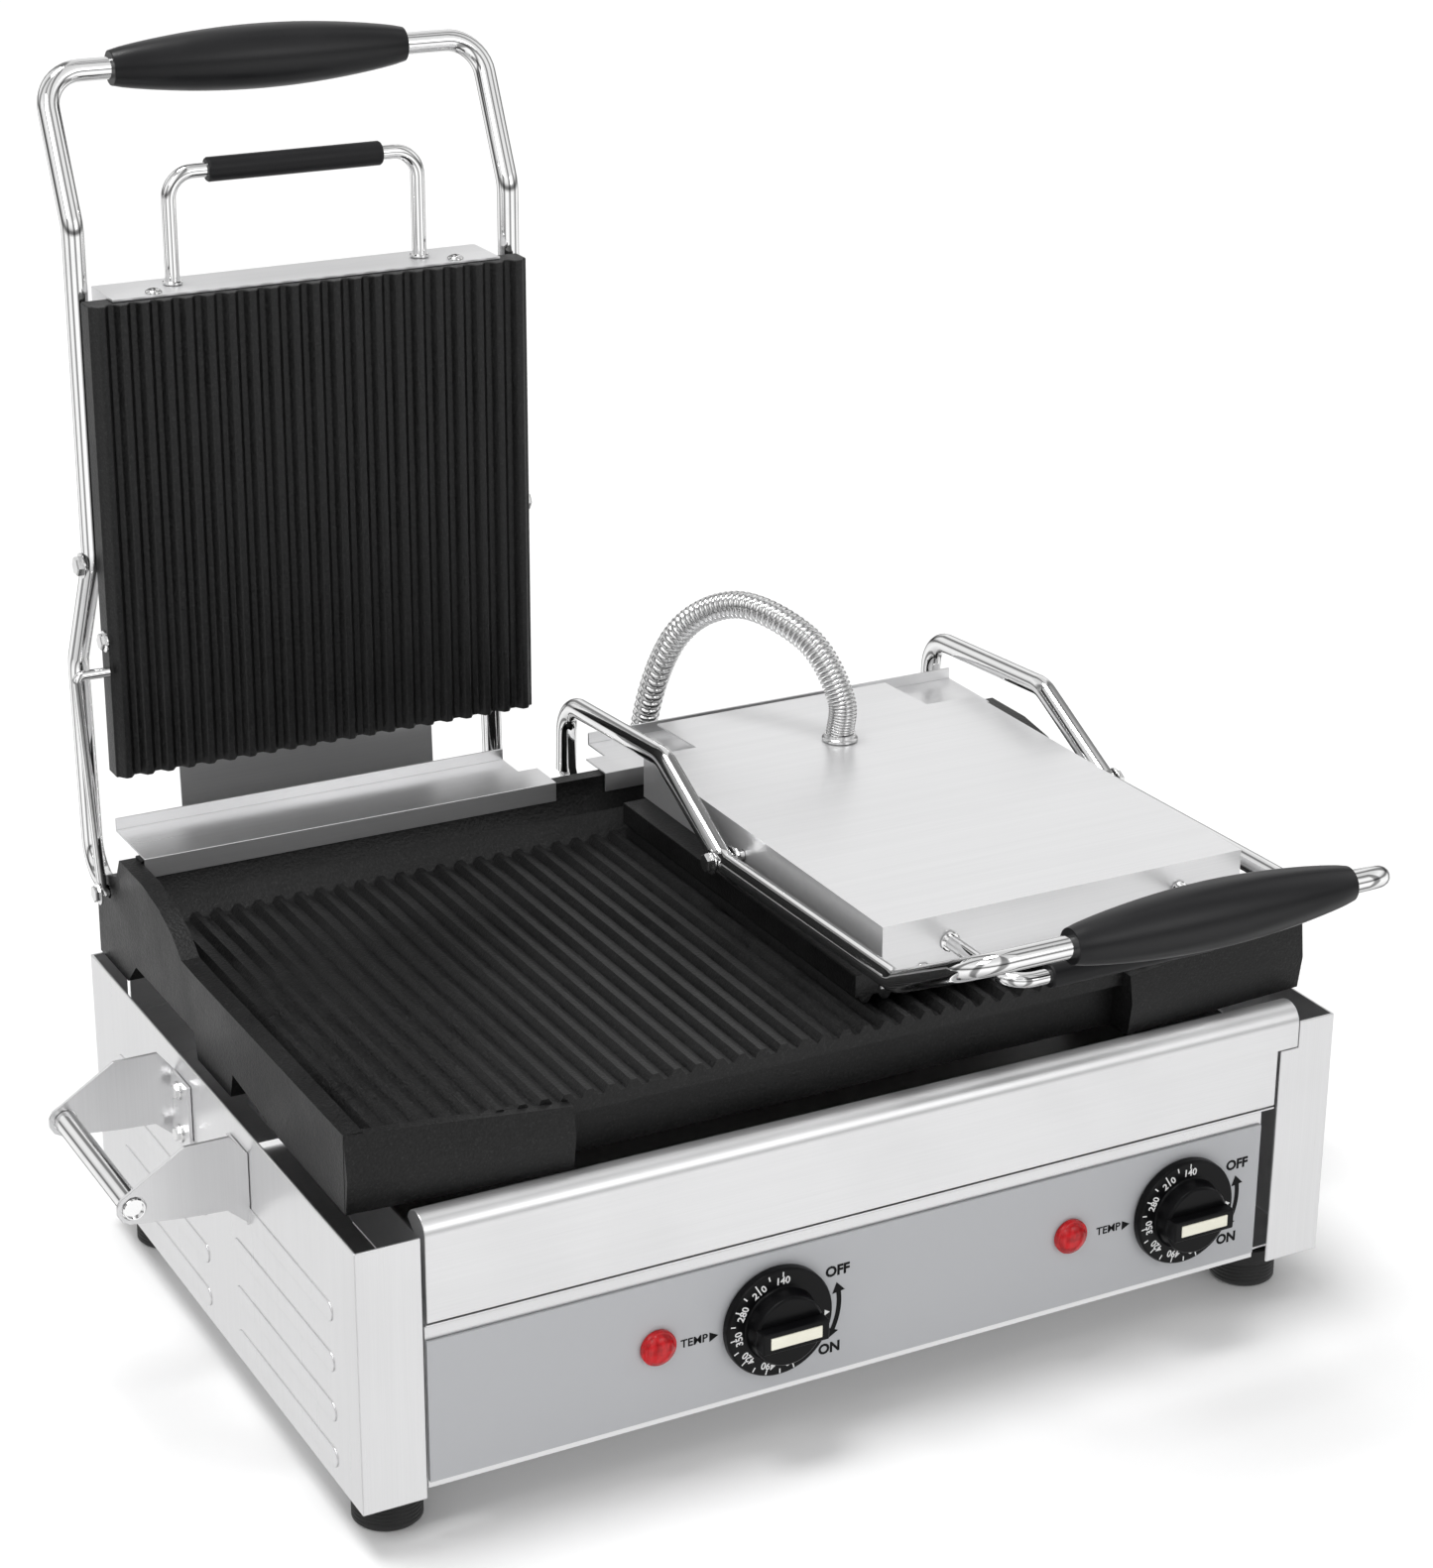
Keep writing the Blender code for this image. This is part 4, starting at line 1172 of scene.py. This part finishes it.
@dataclass
class ControlFascia:
    """The grey film-covered fascia, with its print, lamps and dials.

    Each of the words has its size, the weight of its strokes, and its place from the dial's centre.
    """

    face: float = 0.00095
    print_depth: float = 0.00012
    words: tuple[tuple[str, float, float, float, float], ...] = (
        ("TEMP", 0.0064, 0.020, -0.0462, -0.0012),
        ("OFF", 0.0080, 0.040, 0.0362, 0.0176),
        ("ON", 0.0080, 0.040, 0.0322, -0.0268),
    )
    arrow: tuple[Pair, ...] = ((0.0, -0.0027), (0.0050, 0.0), (0.0, 0.0027))
    arrow_at: Pair = (-0.0376, -0.0012)
    arc_ring: float = 0.0374
    arc_width: float = 0.0027
    arc_ends: Pair = (8.0, -25.0)
    tip_half: float = 0.0037
    tip_sweep: float = 9.0

    def build(self) -> None:
        """Builds and dresses the fascia and everything on it."""
        carried_over("control_fascia", "base", FILM, 0.0002)
        for _, word in SIDES:
            Dial(word).build()
            self.lamp(word)
            self.print(word)

    def lamp(self, word: str) -> None:
        """A red lens with a stepped bezel and a low dome.

        Args:
            word: the side that it is on.
        """
        low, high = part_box(f"{word}_lamp")
        x, z, radius = (low.x + high.x) / 2, (low.z + high.z) / 2, (high.x - low.x) / 2
        front = high.y - LAYOUT.front
        profile = [(radius * 0.62, 0.0), (radius * 0.62, front - 0.0008), (radius, front - 0.0006)]
        profile += [(radius, front + 0.0012), (radius * 0.95, front + 0.0019)]
        profile.append((radius * 0.86, front + 0.0021))
        steps = 7
        for i in range(1, steps + 1):
            a = math.pi / 2 * i / steps
            rise = front + 0.0023 + 0.0034 * math.sin(a)
            profile.append((max(radius * 0.84 * math.cos(a), 0.0004), rise))
        lens = Bench.turned(f"{word}_lamp_lens", profile, facing((0, -1, 0), (x, high.y, z)), 48)
        finished(lens, "base", RED_LENS, [f"{word}_lamp"])

    def print(self, word: str) -> None:
        """The black markings beside a dial: a temperature arrow, and an arc between off and on.

        Args:
            word: the dial's side.
        """
        low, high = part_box(f"{word}_dial")
        x, z = (low.x + high.x) / 2, (low.z + high.z) / 2
        upright = Matrix.Rotation(math.radians(90), 4, "X")

        def at(across: float, up: float) -> Matrix:
            """A placement on the fascia, from the dial's centre."""
            return Matrix.Translation((x + across, LAYOUT.front + self.face, z + up)) @ upright

        def shape(name: str, corners: Sequence[Pair], place: Matrix) -> Thing:
            """A flat shape on the fascia."""
            mark = Bench.cut_out(name, corners, "Z", 0, self.print_depth, 0)
            mark.data.transform(place)
            return mark

        pieces = [
            Bench.lettering(f"mark_{text.lower()}", text, size, at(*place), weight)
            for text, size, weight, *place in self.words
        ]
        pieces.append(shape("mark_arrow", self.arrow, at(*self.arrow_at)))
        ring, half = self.arc_ring, self.arc_width / 2
        start, end = self.arc_ends
        band = [*arc(ring - half, start, end, 14), *reversed(arc(ring + half, start, end, 14))]
        pieces.append(shape("mark_arc", band, at(0, 0)))
        for angle, sign in ((start, 1), (end, -1)):
            tip = angle + sign * self.tip_sweep
            head = [(ring - self.tip_half, angle), (ring + self.tip_half, angle), (ring, tip)]
            corners = [(r * math.cos(math.radians(a)), r * math.sin(math.radians(a))) for r, a in head]
            pieces.append(shape("mark_head", corners[::sign], at(0, 0)))
        finished(Bench.joined(f"{word}_fascia_print", pieces), "base", BLACK_INK)


# ---- tray and base ----


@dataclass
class DripTray:
    """The drip tray: a pan, and a front rolled over into a bullnose whose end laps the right post."""

    nose: float = 0.0105
    skin: float = 0.0012
    front_skin: float = 0.0022
    lap: float = 0.1531
    side_gap: float = 0.0040
    rim: float = 0.1380
    bottom: float = 0.1000

    def build(self) -> None:
        """Builds and dresses the front and the pan."""
        low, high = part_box("drip_tray")
        self.rolled_front(low, high)
        side, top, floor = -low.x - self.side_gap, LAYOUT.base + self.rim, LAYOUT.base + self.bottom
        pan = Bench.slab("tray_pan", (-side, low.y + 0.0016, floor), (side, high.y, top), 0.0030, 3)
        inner_low = (-side + self.skin, low.y + 0.0030, floor + self.skin)
        inner_high = (side - self.skin, high.y - self.skin, top + 0.02)
        hollow = Bench.slab("hollow", inner_low, inner_high, 0.0025, 3)
        mouth = Bench.slab("mouth", (-1, -1, top - 0.0035), (1, 1, top + 0.01), 0)
        Bench.carve(pan, [hollow, mouth])
        finished(pan, "tray", TRAY_STEEL)

    def rolled_front(self, low: Vector, high: Vector) -> None:
        """The front with its bullnose, and the bullnose's end over the right post.

        Args:
            low: the tray's lowest corner.
            high: its highest corner.
        """
        centre = (low.y + self.nose, high.z - self.nose)
        half, back = -low.x, low.y + self.front_skin
        curl = arc(self.nose, 15, 180, 20, centre)
        outline = [*curl, (low.y, low.z), (back, low.z), (back, centre[1] - 0.0100)]
        front = Bench.cut_out("tray_front", outline, "X", low.x, half, 0)
        outline = [*curl, (low.y, self.lap), (back, self.lap)]
        lap = Bench.cut_out("tray_lap", outline, "X", half - 0.001, high.x, 0)
        Bench.apply(front, "BOOLEAN", operation="UNION", object=lap)
        bpy.data.objects.remove(lap)
        finished(Bench.soften(front, 0.0005, 2), "tray", TRAY_STEEL, ["drip_tray"])


@dataclass
class CookingBase:
    """The ribbed iron base plate, the hinge covers and rods, and the elements and fittings inside."""

    plate_edge: float = 0.0009
    sheet_edge: float = 0.0004
    block_edge: float = 0.0006
    gland_edge: float = 0.0005
    cheek: float = 0.0012
    bolt_radius: float = 0.0050
    bolt_height: float = 0.0034

    def build(self) -> None:
        """Builds and dresses the base's pieces."""
        carried_over("lower_plate", "base", IRON, self.plate_edge, smooth=40, angle=25)
        for side, word in SIDES:
            carried_over(f"{word}_hinge_cover", "base", SHEET_X, self.sheet_edge)
            carried_over(f"{word}_hinge_rod", "base", PLATED, self.sheet_edge, 1)
            carried_over(f"{word}_lower_element", "base", SHEATH, 0.0, smooth=60)
            carried_over(f"{word}_thermostat", "base", CERAMIC, self.block_edge)
            self.link_bolt(side, word)
        carried_over("terminal_block", "base", CERAMIC, self.block_edge)
        carried_over("cable_gland", "base", DIAL_BLACK, self.gland_edge)

    def link_bolt(self, side: int, word: str) -> None:
        """The hexagonal bolt that the link rod turns on, outside the cheek.

        Args:
            side: -1 for the left side, 1 for the right.
            word: the side's name.
        """
        at = LAYOUT.joint(f"{word}_link_turn")
        place = facing((side, 0, 0), (side * (LAYOUT.half - self.cheek), at.y, at.z))
        bolt = hex_bolt(f"{word}_link_bolt", place, self.bolt_radius, self.bolt_height)
        finished(bolt, "base", PLATED)


# ---- lids ----


@dataclass
class Lid:
    """One lid, shaped as when closed and measured from its hinge, then turned to where it stands."""

    word: str
    side: int
    turn: float
    grip_shift: float
    arm_half: float = 0.125
    arm_radius: float = 0.006
    leg: tuple[Pair, ...] = (
        (0.0120, 0.0200),
        (0.0105, 0.0625),
        (-0.1130, 0.0705),
        (-0.1840, 0.0345),
        (-0.3653, 0.0380),
        (-0.4390, 0.0760),
    )
    pivot: Pair = (-0.181, 0.0345)
    grip_half: float = 0.084
    grip_radii: Pair = (0.0095, 0.0172)
    bolt_face: float = 0.0062
    lift_half: float = 0.0715
    lift_bar: Pair = (-0.3890, 0.0350)
    cover_front: float = -0.3295
    open_tilt: float = 1.3
    link_reach: float = 0.1205
    link_turns: Pair = (4.3, 100.5)
    link_run: float = 0.1450
    link_ends: Pair = (0.1370, 0.1268)
    plate_bolt: Point = (0.1262, -0.1420, 0.0180)
    conduit_at: Pair = (0.002, -0.089)
    conduit_levels: Pair = (0.0505, 0.0567)
    coil_radius: float = 0.0082
    coil_pitch: float = 0.0033
    coil_strip: tuple[float, ...] = (0.77, 0.96, 1.0, 1.0, 0.96)

    def __post_init__(self) -> None:
        """Works out where the arm and the plate stand."""
        self.hinge = LAYOUT.joint(f"{self.word}_arm_hinge")
        self.arm = Matrix.Translation(self.hinge) @ Matrix.Rotation(-math.radians(self.turn), 4, "X")
        at = Vector((0, *self.pivot))
        tilt = Matrix.Rotation(-math.radians(self.open_tilt if self.turn else 0.0), 4, "X")
        self.plate = self.arm @ Matrix.Translation(at) @ tilt @ Matrix.Translation(-at)

    def build(self) -> None:
        """Builds and dresses every piece of the lid."""
        self.arm_frame()
        self.grip()
        self.bolts()
        self.heated_plate()
        self.lift_handle()
        self.link()
        self.conduit()

    def hang(self, obj: Thing, part: str, finish: Any, slot: str, *nodes: str) -> None:
        """Moves a piece to where the arm or the plate stands, and dresses it as part of that body.

        Args:
            obj: the piece, shaped as when closed.
            part: arm or plate.
            finish: one of the finishes.
            slot: the name of a material slot in the record; not used.
            nodes: the CAD nodes that it stands for, without the lid's name.
        """
        obj.data.transform(self.arm if part == "arm" else self.plate)
        finished(obj, f"{self.word}_{part}", finish, [f"{self.word}_{node}" for node in nodes])

    def arm_frame(self) -> None:
        """The bent tube, with the flat eye of each leg welded in."""
        half = self.arm_half
        corners = [(-half, y, z) for y, z in self.leg] + [(half, y, z) for y, z in reversed(self.leg)]
        pieces = [Bench.tube(f"{self.word}_arm", rounded(corners, 0.020, 10), self.arm_radius, 24)]
        eye = arc(0.009, 180, 360, 18)
        eye += [(0.0185, 0.0200), (0.0170, 0.0480), (0.0050, 0.0480), (0.0040, 0.0240)]
        for side, _ in SIDES:
            low, high = mirrored(side, half - 0.0025, half + 0.0025)
            strap = Bench.cut_out("strap", eye, "X", low, high, 0.0006)
            through = facing((1, 0, 0), (side * half, 0, 0))
            bore = Bench.turned("bore", [(0.0046, -0.01), (0.0046, 0.01)], through, 24)
            pieces.append(Bench.carve(strap, [bore]))
        arm = Bench.joined(f"{self.word}_arm_tube", pieces)
        self.hang(arm, "arm", CHROME, "chrome_tube", "arm_frame")

    def grip(self) -> None:
        """The barrel grip, flat at its ends, with a shallow step by each."""
        end, middle = self.grip_radii
        half, count = self.grip_half, 36
        profile = [(end - 0.0010, -half), (end - 0.0002, -half + 0.0003)]
        for i in range(count + 1):
            t = -1 + 2 * i / count
            radius = end + (middle - end) * max(math.cos(t * math.pi / 2), 0) ** 0.8
            profile.append((radius, t * (half - 0.0012)))
        profile += [(end - 0.0002, half - 0.0003), (end - 0.0010, half)]
        along = facing((1, 0, 0), (self.grip_shift, *self.leg[-1]))
        grip = Bench.turned(f"{self.word}_grip_barrel", profile, along, 64)
        self.hang(grip, "arm", GRIP_BLACK, "grip_plastic", "grip")

    def bolts(self) -> None:
        """The bolts that the plate swings on, each with a washer and a nut."""
        inset = 0.0170
        for side, place in SIDES:

            def at(toward: int, out: float) -> Matrix:
                """A placement on the bolt's axis, a way out from the arm's tube."""
                return facing((toward, 0, 0), (side * (self.arm_half + out), *self.pivot))

            ends = [(0.0029, 0), (0.0029, inset + 0.0066)]
            shank = Bench.turned("shank", ends, at(side, -inset), 24)
            head = hex_bolt("head", at(side, self.bolt_face), 0.0054, 0.0042)
            nut = hex_bolt("nut", at(-side, -self.bolt_face), 0.0050, 0.0040)
            bolt = Bench.joined(f"{self.word}_swing_bolt_{place}", [shank, head, nut])
            self.hang(bolt, "arm", PLATED, "fastener_steel", f"pivot_bolt_{place}")

    def heated_plate(self) -> None:
        """The ribbed iron plate, the element on its back, and the sheet cover with its screws."""
        word, body = self.word, f"{self.word}_plate"
        carried_over(f"{word}_upper_plate", body, LID_IRON, 0.0009, smooth=40, angle=25)
        carried_over(f"{word}_upper_element", body, SHEATH, 0.0, smooth=60)
        carried_over(f"{word}_plate_cover", body, COVER_STEEL, 0.0008, 3)
        places = [facing((0, -1, 0), (x, self.cover_front, 0.0215)) for x in (-0.0870, 0.0870)]
        screws = [dome_screw("screw", place, 0.0046, 0.0026) for place in places]
        self.hang(Bench.joined(f"{word}_cover_screws", screws), "plate", PLATED, "fastener_steel")

    def lift_handle(self) -> None:
        """The small bar at the plate's front, with its collars and black sleeve."""
        half, (reach, level) = self.lift_half, self.lift_bar
        back = self.cover_front + 0.0080
        corners = [(-half, back, level), (-half, reach, level), (half, reach, level), (half, back, level)]
        pieces = [Bench.tube("bar", rounded(corners, 0.0140, 10), 0.0040, 20)]
        profile = [(0.0050, 0), (0.0054, 0.0004), (0.0054, 0.0014), (0.0047, 0.0019)]
        for x in (-half, half):
            at = facing((0, -1, 0), (x, self.cover_front - 0.0003, level))
            pieces.append(Bench.turned("collar", profile, at, 32))
        handle = Bench.joined(f"{self.word}_lift_bar", pieces)
        self.hang(handle, "plate", CHROME, "chrome_tube", "lift_handle")
        end = [(0.0052, -0.0500), (0.0060, -0.0497), (0.0066, -0.0488)]
        profile = end + [(wide, -along) for wide, along in reversed(end)]
        along = facing((1, 0, 0), (0, reach, level))
        sleeve = Bench.turned(f"{self.word}_lift_grip", profile, along, 40)
        self.hang(sleeve, "plate", SLEEVE_BLACK, "sleeve_rubber", "lift_sleeve")

    def link(self) -> None:
        """The bent rod between the base and the plate's side, and the bolt beside its upper end."""
        foot = LAYOUT.joint(f"{self.word}_link_turn")
        turn = math.radians(self.link_turns[1] if self.turn else self.link_turns[0])
        away = Vector((0, -math.cos(turn), math.sin(turn))) * self.link_reach
        tip = (foot.y + away.y, foot.z + away.z)
        out, lower, upper = (self.hinge.x + self.side * x for x in (self.link_run, *self.link_ends))
        corners = [(lower, foot.y, foot.z), (out, foot.y, foot.z), (out, *tip), (upper, *tip)]
        rod = Bench.tube(f"{self.word}_link_bar", rounded(corners, 0.0036, 8), 0.0028, 20)
        finished(rod, f"{self.word}_link", CHROME, [f"{self.word}_link_rod"])
        x, y, z = self.plate_bolt
        place = facing((self.side, 0, 0), (self.side * x, y, z))
        bolt = hex_bolt(f"{self.word}_plate_bolt", place, 0.0046, 0.0036)
        self.hang(bolt, "plate", PLATED, "fastener_steel")

    def conduit(self) -> None:
        """The coiled strip conduit from the rear panel to the cover, and its ferrule."""
        foot = self.plate @ Vector((*self.conduit_at, self.conduit_levels[0]))
        out = (self.plate.to_3x3() @ Vector((0, 0, 1))).normalized()
        profile = [(0.0098, 0.0003), (0.0104, 0.0006), (0.0104, 0.0018), (0.0100, 0.0023)]
        profile += [(0.0093, 0.0027), (0.0092, 0.0044), (0.0084, 0.0048)]
        ferrule = Bench.turned(f"{self.word}_conduit_ferrule", profile, facing(out, foot), 40)
        finished(ferrule, f"{self.word}_plate", PLATED, [f"{self.word}_ferrule"])
        start, end, path = self.conduit_route(out)
        length = sum((b - a).length for a, b in zip(path, path[1:]))
        turns, strip = int(length / self.coil_pitch), self.coil_strip
        fine = smooth_path(path, turns * len(strip))
        swell = [strip[i % len(strip)] for i in range(len(fine))]
        coil = Bench.tube(f"{self.word}_conduit_coil", fine, self.coil_radius, 20, swell)
        surfaced(coil, COIL_STEEL, 50)
        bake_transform(coil)
        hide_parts(f"{self.word}_conduit")

    def conduit_route(self, out: Vector) -> tuple[Vector, Vector, list[Vector]]:
        """The conduit's ends and route.

        Args:
            out: the direction in which it leaves the cover.

        Returns:
            Its start at the rear panel, its end at the ferrule, and the route's points.
        """
        end = self.arm @ Vector((*self.conduit_at, self.conduit_levels[1]))
        start = Vector((self.hinge.x - 0.057, LAYOUT.back + 0.0010, LAYOUT.base + 0.1050))
        if self.turn:
            climb = ((0, 0.018, 0.002), (0.002, 0.042, 0.020), (0.006, 0.062, 0.062), (0.018, 0.070, 0.110))
            between = [start + Vector(step) for step in climb]
            between += [end + out * 0.0262 + Vector((-0.006, 0, -0.022)), end + out * 0.0160]
        else:
            climb = ((0, 0.022, 0.004), (0.001, 0.039, 0.035), (0.002, 0.040, 0.100))
            fall = ((-0.052, 0.104, 0.034), (-0.032, 0.066, 0.061), (-0.010, 0.022, 0.050))
            between = [start + Vector(step) for step in climb] + [end + Vector(step) for step in fall]
            between.append(end + out * 0.020)
        return start, end, smooth_path([start, *between, end - out * 0.004], 80)


# ---- studio ----


@dataclass
class Studio:
    """A seamless pale floor, soft light from large panels, and the camera."""

    lens: float = 79.84
    azimuth: float = 28.263
    pitch: float = 21.775
    roll: float = 0.424
    station: Point = (-0.8128, -1.52563, 0.9764)
    bands: tuple[Pair, ...] = (
        (0.0, 0.55),
        (0.20, 1.05),
        (0.32, 1.24),
        (0.43, 1.10),
        (0.49, 0.22),
        (0.53, 0.22),
        (0.60, 0.95),
        (0.69, 1.16),
        (0.80, 0.94),
        (1.0, 0.74),
    )
    panels: int = 6
    panel_bearing: float = 151.8
    gap_edges: Pair = (0.55, 0.95)
    gap_depth: float = 0.72
    aim: Point = (0.0, 0.0, 0.2)

    def build(self) -> None:
        """Sets up the floor, lights, backdrop and camera."""
        self.floor()
        self.world()
        spread = math.radians(22.0)
        self.lamp("SUN", "far_panel", (0, 0, 3), Vector((0.18, -0.16, -1.0)), 1.7, angle=spread)
        for name, at, power in (("key_panel", (-1.5, -0.9, 1.9), 7.0), ("fill_panel", (0.9, -2.4, 1.5), 4.0)):
            self.lamp("AREA", name, at, Vector(self.aim) - Vector(at), power, size=1.0)
        self.camera()

    def floor(self) -> None:
        """A wide floor at the feet's soles."""
        Bench.clear()
        bpy.ops.mesh.primitive_plane_add(size=40.0, location=(0, 0, -0.0002))
        floor = Bench.started("studio_floor")
        floor.data.materials.append(material_of(FLOOR))
        floor.visible_glossy = False

    def world(self) -> None:
        """A white backdrop to the eye. For the lighting, a pale studio with dim gaps between panels."""
        sky = Surround("soft_surround")
        where = sky.wire("ShaderNodeTexCoord", output="Generated")
        split = sky.node("ShaderNodeSeparateXYZ", {}, {0: where})
        across, deep, up = (Wire(sky, split.outputs[axis]) for axis in "XYZ")
        stops = [(level, (grey,) * 3) for level, grey in self.bands]
        band = sky.wire("ShaderNodeValToRGB", {"stops": stops}, {0: 0.5 * up + 0.5})
        bearing = sky.wire("ShaderNodeMath", {"operation": "ARCTAN2"}, {0: across, 1: deep})
        phase = self.panels * (bearing - math.radians(self.panel_bearing))
        wave = sky.wire("ShaderNodeMath", {"operation": "COSINE"}, {0: phase})
        gap = (0.5 - 0.5 * wave).between(*self.gap_edges)
        power = (1.0 - self.gap_depth * gap) * (0.94 - 0.09 * deep)
        studio = sky.wire("ShaderNodeBackground", {}, {"Color": band, "Strength": power})
        backdrop = sky.wire("ShaderNodeBackground", {}, {"Color": (1.0, 1.0, 1.0, 1.0)})
        seen = sky.wire("ShaderNodeLightPath", output="Is Camera Ray")
        mixed = sky.wire("ShaderNodeMixShader", {}, {0: seen, 1: studio, 2: backdrop})
        sky.tree.links.new(mixed.socket, sky.tree.nodes["World Output"].inputs["Surface"])

    def lamp(
        self, kind: str, name: str, at: Point, toward: Vector, power: float, **settings: float
    ) -> None:
        """A light at a point, shining in a direction.

        Args:
            kind: the light's type.
            name: its name.
            at: where it is.
            toward: the direction that it shines in.
            power: its strength.
            settings: further settings of its data.
        """
        Bench.clear()
        bpy.ops.object.light_add(type=kind, location=at)
        lamp = bpy.context.active_object
        lamp.name = name
        lamp.data.energy = power
        for key, value in settings.items():
            setattr(lamp.data, key, value)
        lamp.rotation_mode = "QUATERNION"
        lamp.rotation_quaternion = toward.to_track_quat("-Z", "Y")

    def camera(self) -> None:
        """The camera, at the height and angle of an adult looking down at a worktop."""
        bpy.ops.object.camera_add()
        camera = bpy.context.active_object
        azimuth, pitch, roll = (math.radians(a) for a in (self.azimuth, self.pitch, self.roll))
        level = math.cos(pitch)
        ahead = Vector((math.sin(azimuth) * level, math.cos(azimuth) * level, -math.sin(pitch)))
        right = Vector((math.cos(azimuth), -math.sin(azimuth), 0.0))
        up = right.cross(ahead)
        across = math.cos(roll) * right + math.sin(roll) * up
        upward = math.cos(roll) * up - math.sin(roll) * right
        turn = Matrix((across, upward, -ahead)).transposed().to_4x4()
        camera.matrix_world = Matrix.Translation(self.station) @ turn
        camera.data.lens = self.lens
        camera.data.sensor_width = 36.0
        camera.data.clip_start, camera.data.clip_end = 0.05, 60.0
        bpy.context.scene.camera = camera
        bpy.context.scene.view_settings.view_transform = "Standard"


def main() -> None:
    """Builds the grill, sub-assembly by sub-assembly, and the studio round it."""
    logging.basicConfig(level=logging.INFO, format="%(name)s: %(message)s")
    Housing().build()
    for corner in ("front_left", "front_right", "rear_left", "rear_right"):
        Foot(f"foot_{corner}").build()
    for side, word in SIDES:
        CarryHandle(side, word).build()
    ControlFascia().build()
    DripTray().build()
    CookingBase().build()
    Lid("left", -1, 88.7, -0.004).build()
    Lid("right", 1, 0.0, 0.012).build()
    Studio().build()


if __name__ == "__main__":
    main()
